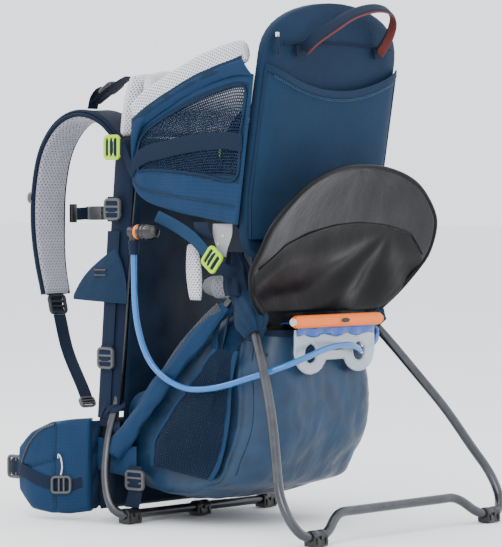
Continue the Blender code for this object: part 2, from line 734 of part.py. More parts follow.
def seat_cushion(joint):
    """The saddle the child sits on, with a narrow nose between the legs; it slides up."""
    wide = PACK_HALF_WIDTH - 0.045
    right = [(wide - 0.012, 0.022), (wide, 0.045), (wide, 0.075), (wide - 0.018, 0.102),
             (wide - 0.040, 0.122), (wide - 0.046, 0.142), (wide - 0.060, 0.155)]
    outline = right + [(-x, y) for x, y in reversed(right)]
    middle = Vector((0.0, 0.085, 0.0))
    rings = []
    low = SEAT_TOP - SEAT_THICKNESS
    for z, grow in ((low, 0.88), (low + 0.006, 0.98), (SEAT_TOP - 0.008, 1.0), (SEAT_TOP, 0.90)):
        rings.append([middle + (Vector((x, y, 0.0)) - middle) * grow + Z_AXIS * z for x, y in outline])
    place(loft("seat_cushion", rings, grey_mesh(), 50), joint)


def grab_handle(root):
    """The webbing handle that arches over the back of the headrest."""
    top = TOTAL_HEIGHT
    near = backrest_rear(TOTAL_HEIGHT - 0.06) - 0.0075
    route = smooth_route([(-0.080, near, top - 0.066), (-0.074, near - 0.014, top - 0.052),
                          (-0.048, near - 0.025, top - 0.034), (-0.010, near - 0.026, top - 0.017),
                          (0.036, near - 0.026, top - 0.007), (0.068, near - 0.025, top - 0.009),
                          (0.086, near - 0.020, top - 0.022), (0.089, near - 0.011, top - 0.042),
                          (0.082, near, top - 0.064)], 0.014)
    across = Vector((0.0, 0.75, 0.65))
    place(ribbon("grab_handle", route, across, 0.015, 0.004, navy_fabric()), root)


# ---- rear lid and reservoir --------------------------------------------------------
def lid_rows():
    """Height, half width and Y of the open lid, from its hinge to its free edge."""
    wide = PACK_HALF_WIDTH
    return [(0.288, wide - 0.006, -0.0370), (0.312, wide + 0.024, -0.0465), (0.343, wide + 0.046, -0.0630),
            (0.367, wide + 0.048, -0.0800), (0.401, wide + 0.042, -0.0955), (0.425, wide + 0.025, -0.1040),
            (0.452, wide - 0.010, -0.1100), (0.468, wide - 0.0435, -0.1115), (0.479, wide - 0.085, -0.1090)]


def rear_lid(joint):
    """A dished flap: its middle is deeper than its rim, like a shallow bowl."""
    rows = lid_rows()
    columns = 12
    dish = 0.014
    front = []
    rear = []
    for index, (z, half, y) in enumerate(rows):
        before = rows[max(0, index - 1)]
        after = rows[min(len(rows) - 1, index + 1)]
        slope = Vector((0, after[2] - before[2], after[0] - before[0])).normalized()
        outward = Vector((0, -slope.z, slope.y))
        depth = dish * math.sin(math.pi * index / (len(rows) - 1))
        for column in range(columns + 1):
            u = -1 + 2 * column / columns
            spot = Vector((u * half, y, z)) - outward * depth * (1 - u * u)
            front.append(spot - outward * LID_THICKNESS / 2)
            rear.append(spot + outward * LID_THICKNESS / 2)
    verts = front + rear
    across = columns + 1
    total = len(front)
    faces = []
    for row in range(len(rows) - 1):
        for column in range(columns):
            a = row * across + column
            faces.append((a, a + 1, a + across + 1, a + across))
            faces.append((total + a, total + a + across, total + a + across + 1, total + a + 1))
    rim = [column for column in range(columns)]
    rim += [row * across + columns for row in range(len(rows) - 1)]
    rim += [(len(rows) - 1) * across + column for column in range(columns, 0, -1)]
    rim += [row * across for row in range(len(rows) - 1, 0, -1)]
    for index, a in enumerate(rim):
        b = rim[(index + 1) % len(rim)]
        faces.append((a, b, total + b, total + a))
    place(mesh_piece("rear_lid", verts, faces, black_fabric(), 60), joint)


def reservoir(slider_joint, root):
    """The bladder's film comes up out of the bag, over its rim, to the slider bar."""
    def inside(z):
        return bag_rear(z) + BAG_WALL + 0.011

    rim = bag_rear(BAG_TOP)
    over = FILM_THICKNESS + 0.0035
    route = smooth_route([(0, inside(0.100), 0.100), (0, inside(0.150), 0.150), (0, inside(0.200), 0.200),
                          (0, inside(0.235), 0.235), (0, rim + BAG_WALL + over + 0.005, BAG_TOP - 0.003),
                          (0, rim + BAG_WALL + 0.006, BAG_TOP + over + 0.004), (0, rim - 0.002, BAG_TOP + over + 0.007),
                          (0, SLIDER_Y + SLIDER_RADIUS + TOUCH * 2, SLIDER_Z - 0.004)], 0.016)
    place(ribbon("reservoir_film", route, X_AXIS, 2 * FILM_HALF_WIDTH, FILM_THICKNESS, blue_film()), root)
    half = SLIDER_LENGTH / 2
    bar = cylinder("reservoir_slider", (-half, SLIDER_Y, SLIDER_Z), (half, SLIDER_Y, SLIDER_Z),
                   SLIDER_RADIUS, orange_plastic(), 14)
    place(bevelled(bar, 0.002, 1), slider_joint)
    grip_plate(root)


def grip_plate(root):
    """The clear hanging grip under the slider, with two finger holes."""
    top = SLIDER_Z - SLIDER_RADIUS - 0.002
    bottom = 0.207
    hole_z = 0.234
    y = SLIDER_Y + 0.005
    outline = [(-GRIP_HALF_WIDTH, top), (-GRIP_HALF_WIDTH, hole_z + 0.004)]
    lobe = GRIP_HALF_WIDTH - GRIP_HOLE_X
    drop = hole_z - bottom
    for step in range(1, 8):
        turn = math.pi + math.pi * step / 8
        outline.append((-GRIP_HOLE_X + lobe * math.cos(turn) * 0.98, hole_z + drop * math.sin(turn)))
    outline += [(-0.016, hole_z - 0.010), (0.0, hole_z - 0.007), (0.016, hole_z - 0.010)]
    for step in range(1, 8):
        turn = math.pi + math.pi * step / 8
        outline.append((GRIP_HOLE_X + lobe * math.cos(turn) * 0.98, hole_z + drop * math.sin(turn)))
    outline += [(GRIP_HALF_WIDTH, hole_z + 0.004), (GRIP_HALF_WIDTH, top)]
    plate = slab("reservoir_grip", outline, "Y", y - GRIP_THICKNESS / 2, y + GRIP_THICKNESS / 2, clear_plastic())
    place(plate, root)
    for label, side in SIDES.items():
        hole = cylinder("grip_hole_" + label, (side * GRIP_HOLE_X, y - 0.02, hole_z),
                        (side * GRIP_HOLE_X, y + 0.02, hole_z), GRIP_HOLE_RADIUS, clear_plastic(), 16)
        cut(plate, hole, root)


def hose_points():
    """The free hose's route, chosen by hand: out of the bag, through the grip's right
    hole, round the left rear corner inside the leg, down in a loop and up to the valve."""
    side = PACK_HALF_WIDTH
    hole = GRIP_HOLE_X
    return [(side - 0.0280, -0.0380, 0.2690), (side - 0.0270, -0.0480, 0.2600), (side - 0.0340, -0.0520, 0.2470),
            (side - 0.0500, -0.0508, 0.2370), (side - 0.0655, -0.0522, 0.2335), (hole, -0.0594, 0.2340),
            (hole - 0.0125, -0.0692, 0.2375), (0.0110, -0.0775, 0.2440), (-0.0200, -0.0790, 0.2440),
            (0.0010 - hole, -0.0790, 0.2395), (0.0480 - side, -0.0775, 0.2310),
            (0.0210 - side, -0.0685, 0.2220), (0.0030 - side, -0.0480, 0.2120),
            (-0.0045 - side, -0.0200, 0.2030), (-0.0085 - side, 0.0100, 0.1940),
            (-0.0110 - side, 0.0400, 0.1880), (-0.0130 - side, 0.0700, 0.1860),
            (-0.0150 - side, 0.0950, 0.1910), (-0.0180 - side, 0.1170, 0.2020),
            (-0.0220 - side, 0.1340, 0.2190), (-0.0260 - side, 0.1450, 0.2420),
            (-0.0300 - side, 0.1510, 0.2700), (-0.0330 - side, 0.1530, 0.3000),
            (-0.0350 - side, 0.1525, 0.3300), (-0.0360 - side, 0.1520, 0.3640)]


def hose(valve_joint, root):
    route = smooth_route(hose_points(), 0.011)
    place(tube("drinking_hose", route, HOSE_RADIUS, blue_film()), root)
    top = Vector(hose_points()[-1])
    elbow_base = top + Z_AXIS * TOUCH
    elbow_top = Vector((top.x, top.y, 0.3945 + VALVE_RADIUS * 0.6))
    place(cylinder("valve_elbow", elbow_base, elbow_top, 0.0062, grey_plastic(), 14), root)
    start = Vector((top.x, top.y - 0.0062 - TOUCH, 0.3945))
    place(cylinder("bite_valve", start, start - Y_AXIS * 0.037, VALVE_RADIUS, black_rubber(), 18), valve_joint)


# ---- wearer's harness ----------------------------------------------------------------
def shoulder_harness(joint, root):
    """Yoke, padded straps, their lower adjusters and the load lifters above them."""
    clear = STRAP_THICKNESS / 2 + 0.002

    def on_back(z):
        return back_face(z) + clear

    place(pad_between("shoulder_yoke", 0.420, 0.478, 0.062, 0.066, lambda z: on_back(z) - STRAP_THICKNESS / 2,
                      lambda z: on_back(z) + STRAP_THICKNESS / 2, navy_fabric(), rows=2, corner=0.005), joint)
    for label, side in SIDES.items():
        route = smooth_route(mirror(strap_points(on_back), side), 0.030)
        place(ribbon("shoulder_strap_" + label, route, X_AXIS, STRAP_WIDTH, STRAP_THICKNESS, grey_mesh()), joint)
        down = (route[-1] - route[-2]).normalized()
        centre = route[-1] + down * (BUCKLE_LENGTH / 2 + TOUCH * 2)
        ladder_lock("strap_buckle_" + label, centre, down, X_AXIS, grey_plastic(), joint, root)
        start = centre + down * (BUCKLE_LENGTH / 2 + 0.001)
        lower = [start, start + Vector((side * 0.004, -0.020, -0.050)),
                 Vector((side * 0.119, 0.292, 0.178)), Vector((side * 0.1235, 0.2765, 0.156))]
        place(ribbon("shoulder_webbing_" + label, smooth_route(lower, 0.025), X_AXIS, WEBBING_WIDTH,
                     WEBBING_THICKNESS, navy_fabric()), root)
        lifter = [(side * 0.088, 0.2980, 0.5700), (side * 0.088, 0.2700, 0.5860),
                  (side * 0.088, 0.2450, 0.6000), (side * 0.088, 0.2290, 0.6060)]
        place(ribbon("load_lifter_" + label, smooth_route(lifter, 0.02), X_AXIS, WEBBING_WIDTH,
                     WEBBING_THICKNESS, navy_fabric()), joint)


def strap_points(on_back):
    """Centre line of the right shoulder strap, from the yoke over the shoulder and down."""
    return [(0.078, on_back(0.485), 0.485), (0.081, on_back(0.515) + 0.004, 0.515),
            (0.086, 0.262, 0.544), (0.090, 0.300, 0.5545), (0.094, 0.336, 0.541),
            (0.098, 0.362, 0.506), (0.100, 0.3740, 0.455), (0.101, 0.3755, 0.400),
            (0.103, 0.369, 0.350), (0.105, 0.357, 0.306)]


def sternum_strap(joint):
    """Two webbing halves and a side-release buckle across the chest."""
    z = 0.418
    y = 0.3610
    buckle = (0.044, 0.020, 0.010)
    centre = Vector((-0.014, y, z))
    body = turned_box("sternum_buckle", centre, X_AXIS, Z_AXIS, buckle, grey_plastic())
    place(bevelled(body, 0.002, 1), joint)
    reach = 0.0685
    for label, side in SIDES.items():
        start = Vector((side * reach, y, z))
        end = centre + side * X_AXIS * (buckle[0] / 2 + TOUCH)
        place(ribbon("sternum_strap_" + label, [start, end], Z_AXIS, 0.018, WEBBING_THICKNESS,
                     navy_fabric()), joint)


def fin_route():
    """Plan view of the right hip fin's middle surface, from its root to its tip."""
    root_x = PACK_HALF_WIDTH + 0.010
    return [(root_x, 0.2540), (root_x + 0.017, 0.2800), (root_x + 0.026, 0.3080), (root_x + 0.029, 0.3330),
            (root_x + 0.026, 0.3580)]


def hip_fin(label, side, joint, root):
    """A padded fin that wraps forward round the hip; it tapers at its front."""
    heights = [(0.012, 0.139), (0.008, 0.137), (0.008, 0.133), (0.010, 0.120), (0.038, 0.096)]
    knots = fin_route()
    rings = []
    for index, ((x, y), (low, high)) in enumerate(zip(knots, heights)):
        before = knots[max(0, index - 1)]
        after = knots[min(len(knots) - 1, index + 1)]
        along = Vector((after[0] - before[0], after[1] - before[1], 0)).normalized()
        out = Vector((along.y, -along.x, 0))
        half = FIN_THICKNESS / 2 * (0.8 if index in (0, len(knots) - 1) else 1.0)
        middle = Vector((x, y, 0))
        edge = 0.010
        profile = [(half, low + edge), (half, high - edge), (half * 0.4, high), (-half * 0.4, high),
                   (-half, high - edge), (-half, low + edge), (-half * 0.4, low), (half * 0.4, low)]
        ring = [middle + out * offset + Z_AXIS * z for offset, z in profile]
        rings.append(mirror(ring, side))
    place(loft("hip_fin_" + label, rings, blue_fabric(), 50), joint)
    tip = knots[-1]
    centre = Vector((side * (tip[0] - 0.001), HIP_BUCKLE_FRONT - BUCKLE_LENGTH / 2, 0.067))
    ladder_lock("hip_buckle_" + label, centre, Y_AXIS, Z_AXIS, grey_plastic(), joint, root)


# ---- the whole carrier -----------------------------------------------------------------
def build():
    clear_scene()
    root = make_root()
    stand = make_joint("kickstand_axis", (0.0, PIVOT_Y, PIVOT_Z), root)
    lid = make_joint("lid_axis", (0.0, LID_HINGE_Y, LID_HINGE_Z), root)
    slider = make_joint("slider_axis", (0.0, SLIDER_Y, SLIDER_Z), root)
    seat = make_joint("seat_axis", (0.0, 0.088, SEAT_TOP - SEAT_THICKNESS), root)
    harness = make_joint("harness_axis", (0.0, back_face(0.45), 0.45), root)
    sternum = make_joint("sternum_axis", (0.0, 0.361, 0.418), root)
    wing = make_joint("wing_axis", (-WING_INNER_X, -0.0140, 0.404), root)
    valve = make_joint("valve_axis", (hose_points()[-1][0], 0.14, 0.3945), root)
    fins = {label: make_joint("fin_axis_" + label, (side * PACK_HALF_WIDTH, 0.249, 0.07), root)
            for label, side in SIDES.items()}
    front_frame(root)
    side_struts(root)
    hinge_brackets(root)
    kickstand(stand, root)
    back_padding(root)
    front_wall(root)
    pack_bag(root)
    side_pockets(root)
    child_backrest(root)
    side_wing("left", -1, wing, root)
    side_wing("right", 1, root, root)
    wing_tensioners(root)
    chin_pad(root)
    seat_cushion(seat)
    grab_handle(root)
    rear_lid(lid)
    reservoir(slider, root)
    hose(valve, root)
    shoulder_harness(harness, root)
    sternum_strap(sternum)
    for label, side in SIDES.items():
        hip_fin(label, side, fins[label], root)
    bpy.context.view_layer.update()


build()
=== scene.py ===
"""The look of a framed child carrier backpack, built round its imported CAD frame.

Units are metres.  Shapes are drawn in the stance frame, whose Y origin is midway
between the carrier's front and rear feet, and shifted by SHIFT into the row frame.
+Z is up, +Y is the wearer's side and +X is the wearer's right.
"""
import math

import bpy
import numpy as np
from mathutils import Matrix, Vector, noise


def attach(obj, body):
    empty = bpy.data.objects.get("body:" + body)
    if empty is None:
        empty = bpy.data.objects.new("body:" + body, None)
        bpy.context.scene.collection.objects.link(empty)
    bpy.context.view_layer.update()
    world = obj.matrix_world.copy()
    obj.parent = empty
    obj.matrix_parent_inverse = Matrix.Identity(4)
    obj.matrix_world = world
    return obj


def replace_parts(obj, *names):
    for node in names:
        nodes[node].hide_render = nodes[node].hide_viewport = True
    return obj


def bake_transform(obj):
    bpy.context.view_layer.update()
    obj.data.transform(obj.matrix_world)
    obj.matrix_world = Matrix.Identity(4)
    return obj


SHIFT = Vector((0.0, -0.101, 0.0))   # from the stance frame to the row frame
SIDES = (("left", -1), ("right", 1))
X = Vector((1, 0, 0))
Y = Vector((0, 1, 0))
Z = Vector((0, 0, 1))
PACK_HALF = 0.130         # half the width of the back panel
TUBE_RADIUS = 0.00625     # outer radius of the frame tubes
PIVOT_X = 0.098           # the kickstand's hinge, on the right side
PIVOT_Y = 0.012
PIVOT_Z = 0.326
TUBE_Z = 0.01205          # middle of a tube that lies on the feet

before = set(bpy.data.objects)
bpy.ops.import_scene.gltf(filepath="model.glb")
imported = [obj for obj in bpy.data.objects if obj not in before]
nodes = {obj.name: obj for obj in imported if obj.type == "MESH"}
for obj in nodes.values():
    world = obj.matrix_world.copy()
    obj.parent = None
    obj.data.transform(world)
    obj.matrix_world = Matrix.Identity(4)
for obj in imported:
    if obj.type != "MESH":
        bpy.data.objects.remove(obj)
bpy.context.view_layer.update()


# ---- lines that several pieces share --------------------------------------------
def back_face(z):
    """Y of the wearer's side of the back padding."""
    return 0.262 - 0.0755 * z


def upright_line(z):
    """Y of the frame's uprights."""
    return back_face(z) - 0.03255


def backrest_rear(z):
    """Y of the rear of the child's backrest."""
    return -0.030 - 0.165 * max(0.0, z - 0.44)


def bag_rear(z):
    """Y of the middle of the bag's rear wall."""
    t = clamp((z - 0.030) / 0.120)
    under = 0.110 * (1 - math.sqrt(1 - (1 - t) ** 2))
    return -0.040 + under - 0.011 * math.sin(math.pi * clamp((z - 0.090) / 0.170))


def clamp(value, low=0.0, high=1.0):
    return min(high, max(low, value))


def lerp(a, b, t):
    return a + (b - a) * t


def turns(count):
    """Evenly spaced angles round a ring."""
    return [math.tau * k / count for k in range(count)]


def blunt(wave, power):
    """A sine or cosine with its curve squared off."""
    return math.copysign(abs(wave) ** power, wave)


def smooth(t):
    t = clamp(t)
    return t * t * (3 - 2 * t)


def wobble(spot, scale, seed=0.0):
    """Smooth noise from about -1 to 1 at a point; scale is its bumps per metre."""
    return noise.noise(Vector(spot) * scale + Vector((seed, seed * 1.7, seed * 0.6)))


# ---- curves and meshes -----------------------------------------------------------
def smooth_route(points, step):
    """Points about a step apart on a Catmull-Rom curve through the given points."""
    knots = [Vector(point) for point in points]
    ends = [2 * knots[0] - knots[1]] + knots + [2 * knots[-1] - knots[-2]]
    route = [knots[0]]
    for index in range(len(knots) - 1):
        a, b, c, d = ends[index:index + 4]
        count = max(1, round((c - b).length / step))
        for part in range(1, count + 1):
            t = part / count
            route.append(0.5 * (2 * b + (c - a) * t + (2 * a - 5 * b + 4 * c - d) * t ** 2
                                + (3 * b - 3 * c + d - a) * t ** 3))
    return route


def paced(points):
    """A function of t from 0 to 1 that runs evenly along a smooth curve."""
    route = np.array([tuple(p) for p in smooth_route(points, 0.004)])
    steps = np.linalg.norm(np.diff(route, axis=0), axis=1)
    along = np.concatenate([[0.0], np.cumsum(steps)])
    along /= along[-1]

    def at(t):
        return Vector([float(np.interp(t, along, route[:, k])) for k in range(3)])

    return at


def mirror(points, side):
    """Points drawn for the right side, put on the given side."""
    return [Vector((side * p[0], p[1], p[2])) for p in points]


class Shape:
    """Gathers grids and sweeps into one mesh with UVs in metres."""

    def __init__(self):
        self.points = []
        self.faces = []
        self.uvs = []
        self.slots = []

    def grid(self, rows, wrap=False, slot=0, flip=False, pick=None, cap=False):
        """Quads over rows of points; wrap closes each row, cap fills the two end rows."""
        table = np.array([[tuple(p) for p in row] for row in rows], float)
        if wrap:
            table = np.concatenate([table, table[:, :1]], axis=1)
        across = np.concatenate([[0], np.cumsum(np.linalg.norm(np.diff(table, axis=1), axis=2).mean(axis=0))])
        along = np.concatenate([[0], np.cumsum(np.linalg.norm(np.diff(table, axis=0), axis=2).mean(axis=1))])
        start = len(self.points)
        count = table.shape[1] - (1 if wrap else 0)
        self.points += [tuple(p) for row in table for p in row[:count]]
        high, wide = table.shape[0] - 1, table.shape[1] - 1
        for j in range(high):
            for i in range(wide):
                spots = [(j, i), (j, i + 1), (j + 1, i + 1), (j + 1, i)]
                if flip:
                    spots.reverse()
                self.faces.append([start + a * count + (b % count) for a, b in spots])
                self.uvs.append([(across[b], along[a]) for a, b in spots])
                self.slots.append(pick((i + 0.5) / wide, (j + 0.5) / high) if pick else slot)
        if cap:
            for row, order in ((0, -1), (high, 1)):
                ring = [start + row * count + b for b in range(count)][::-order if flip else order]
                self.faces.append(ring)
                self.uvs.append([(across[(n - start) % count], along[row]) for n in ring])
                self.slots.append(slot)

    def sweep(self, route, profile, closed=False, slot=0, up=Z, swell=None):
        """A profile of (side, up) offsets carried along a route."""
        rows = []
        last = len(route) - 1
        for index, spot in enumerate(route):
            ahead = route[(index + 1) % len(route)] if closed else route[min(index + 1, last)]
            behind = route[index - 1] if closed else route[max(index - 1, 0)]
            run = (ahead - behind).normalized()
            wide = run.cross(up)
            if wide.length < 1e-4:
                wide = run.cross(Y)
            wide.normalize()
            tall = wide.cross(run)
            grow = swell(index / last) if swell else 1.0
            rows.append([spot + wide * (a * grow) + tall * (b * grow) for a, b in profile])
        if closed:
            rows.append(rows[0])
        self.grid(rows, wrap=True, slot=slot, cap=not closed, flip=True)

    def tube(self, route, radius, sides=12, closed=False, slot=0, up=Z, swell=None):
        profile = [(radius * math.cos(math.tau * k / sides), radius * math.sin(math.tau * k / sides))
                   for k in range(sides)]
        self.sweep([Vector(p) for p in route], profile, closed, slot, up, swell)

    def block(self, centre, axes, sizes, slot=0, edge=0.25):
        """A box with rounded vertical corners, swept along its last axis."""
        a, b, c = axes
        wide, deep, tall = (s / 2 for s in sizes)
        corner = min(wide, deep) * edge
        ring = []
        for quarter, (sx, sy) in enumerate(((1, 1), (-1, 1), (-1, -1), (1, -1))):
            for part in range(4):
                turn = math.pi / 2 * (quarter + part / 3)
                ring.append(((wide - corner) * sx + corner * math.cos(turn),
                             (deep - corner) * sy + corner * math.sin(turn)))
        rows = []
        for level, grow in ((-tall, 0.90), (-tall * 0.86, 1.0), (tall * 0.86, 1.0), (tall, 0.90)):
            rows.append([centre + a * (p * grow) + b * (q * grow) + c * level for p, q in ring])
        self.grid(rows, wrap=True, slot=slot, cap=True)

    def make(self, name, finishes, body, sharp=50.0):
        mesh = bpy.data.meshes.new(name)
        mesh.from_pydata([Vector(p) + SHIFT for p in self.points], [], self.faces)
        layer = mesh.uv_layers.new(name="cloth")
        flat = [value for face in self.uvs for pair in face for value in pair]
        layer.data.foreach_set("uv", flat)
        for finish in finishes if isinstance(finishes, (list, tuple)) else [finishes]:
            mesh.materials.append(finish)
        mesh.polygons.foreach_set("material_index", self.slots)
        mesh.polygons.foreach_set("use_smooth", [True] * len(self.faces))
        mesh.set_sharp_from_angle(angle=math.radians(sharp))
        made = bpy.data.objects.new(name, mesh)
        bpy.context.scene.collection.objects.link(made)
        if body:
            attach(made, body)
        return made


def skin(at, counts, thick, edge=0.006, crumple=0.0, grain=18.0, seed=0.0, pick=None,
         relief=None):
    """A soft panel: at(u, v) is its middle surface; its border thins to a round edge."""
    wide, high = counts
    table = np.array([[tuple(at(i / wide, j / high)) for i in range(wide + 1)] for j in range(high + 1)])
    normal = np.cross(np.gradient(table, axis=1), np.gradient(table, axis=0))
    normal /= np.maximum(np.linalg.norm(normal, axis=2, keepdims=True), 1e-12)
    run_u = np.cumsum(np.linalg.norm(np.diff(table, axis=1, prepend=table[:, :1]), axis=2), axis=1)
    run_v = np.cumsum(np.linalg.norm(np.diff(table, axis=0, prepend=table[:1]), axis=2), axis=0)
    near = np.minimum(np.minimum(run_u, run_u[:, -1:] - run_u), np.minimum(run_v, run_v[-1:] - run_v))
    near = np.clip(near / edge, 0, 1)
    half = np.maximum(thick / 2 * np.sqrt(1 - (1 - near) ** 2), 0.00025)
    if crumple or relief:
        lift = np.zeros(near.shape)
        for j in range(high + 1):
            for i in range(wide + 1):
                spot = table[j, i]
                bump = wobble(spot, grain, seed) + 0.5 * wobble(spot, grain * 2.3, seed + 5)
                lift[j, i] = crumple * bump * near[j, i]
                if relief:
                    lift[j, i] += relief(i / wide, j / high)
        table = table + normal * lift[..., None]
    front = table + normal * half[..., None]
    back = table - normal * half[..., None]
    shape = Shape()
    shape.grid(front, pick=pick)
    shape.grid(back, pick=pick, flip=True)
    rim_front = list(front[0]) + list(front[1:, -1]) + list(front[-1][-2::-1]) + list(front[-2:0:-1, 0])
    rim_back = list(back[0]) + list(back[1:, -1]) + list(back[-1][-2::-1]) + list(back[-2:0:-1, 0])
    shape.grid([rim_back, rim_front], wrap=True, slot=pick(0.0, 0.0) if pick else 0)
    return shape


def panel(name, at, counts, thick, finish, body, **settings):
    return skin(at, counts, thick, **settings).make(name, finish, body, 70.0)


def rod(name, route, radius, sides, finish, body, sharp=50.0, **settings):
    """A round tube along a route, as a piece of its own."""
    shape = Shape()
    shape.tube(route, radius, sides, **settings)
    return shape.make(name, finish, body, sharp)


def ruled(first, second, bow=None):
    """The surface between two curves; u runs along them and v from one to the other."""
    one = paced(first)
    two = paced(second)

    def at(u, v):
        spot = one(u).lerp(two(u), v)
        return spot + bow(u, v) if bow else spot

    return at


def strap_surface(points, across, width):
    """The surface of a flat strap along a route."""
    line = paced(points)

    def at(u, v):
        side = across(v) if callable(across) else across
        return line(v) + side * (width(v) if callable(width) else width) * (u - 0.5)

    return at


def strap(name, points, across, width, thick, finish, body, **settings):
    """A length of webbing, with UVs along it."""
    length = sum((Vector(b) - Vector(a)).length for a, b in zip(points, points[1:]))
    rows = max(6, int(length / 0.005))
    cross = across if callable(across) else Vector(across).normalized()
    return panel(name, strap_surface(points, cross, width), (6, rows), thick, finish, body,
                 edge=0.0015, **settings)


def stitches(shape, points, out, length=0.0026, gap=0.0016, radius=0.00042, slot=0):
    """A row of thread stitches on a line, standing off it by a radius."""
    line = paced(points)
    total = sum((Vector(b) - Vector(a)).length for a, b in zip(points, points[1:]))
    count = max(1, int(total / (length + gap)))
    for index in range(count):
        t = index / count
        a = line(t)
        b = line(t + length / total)
        lift = out * radius
        shape.sweep([a + lift * 0.2, a.lerp(b, 0.5) + lift * 1.6, b + lift * 0.2],
                    [(radius, 0), (0, radius), (-radius, 0), (0, -radius)], slot=slot, up=out)


def lock(name, centre, along, across, finish, body, size=(0.032, 0.028), bar=0.0042, replaces=()):
    """A moulded ladder-lock: a rounded frame, two cross bars and a lifted front lip."""
    along = Vector(along).normalized()
    across = Vector(across).normalized()
    out = across.cross(along).normalized()
    wide, high = size[0] / 2 - bar / 2, size[1] / 2 - bar / 2
    corner = 0.0045
    ring = []
    for quarter, (sx, sy) in enumerate(((1, 1), (-1, 1), (-1, -1), (1, -1))):
        for part in range(5):
            turn = math.pi / 2 * (quarter + part / 4)
            ring.append(centre + across * ((wide - corner) * sx + corner * math.cos(turn))
                        + along * ((high - corner) * sy + corner * math.sin(turn)))
    shape = Shape()
    a, b = bar / 2, 0.0026
    profile = [(a, -b * 0.5), (a, b * 0.5), (a * 0.6, b), (-a * 0.6, b), (-a, b * 0.5), (-a, -b * 0.5),
               (-a * 0.6, -b), (a * 0.6, -b)]
    shape.sweep(ring, profile, closed=True, up=out)
    for place, lift in ((0.26 * high, 0.0008), (-0.30 * high, 0.0)):
        spots = [centre + along * place + out * lift + across * (wide * t) for t in (-1, -0.5, 0, 0.5, 1)]
        shape.sweep(spots, [(p * 0.8, q * 0.85) for p, q in profile], up=out)
    made = shape.make(name, finish, body, 40.0)
    if replaces:
        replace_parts(made, *replaces)
    return made


def threaded(name, centre, along, across, finish, body, reach=0.016, width=0.0215, lift=0.0030):
    """The short run of webbing that goes over a ladder-lock's bars."""
    along = Vector(along).normalized()
    across = Vector(across).normalized()
    out = across.cross(along).normalized()
    spots = [centre + along * (reach * t) + out * (lift * (1 - abs(t) ** 1.5) - 0.0012) for t in
             (-1, -0.6, -0.25, 0, 0.25, 0.6, 1)]
    return strap(name, spots, across, width, 0.0017, finish, body)


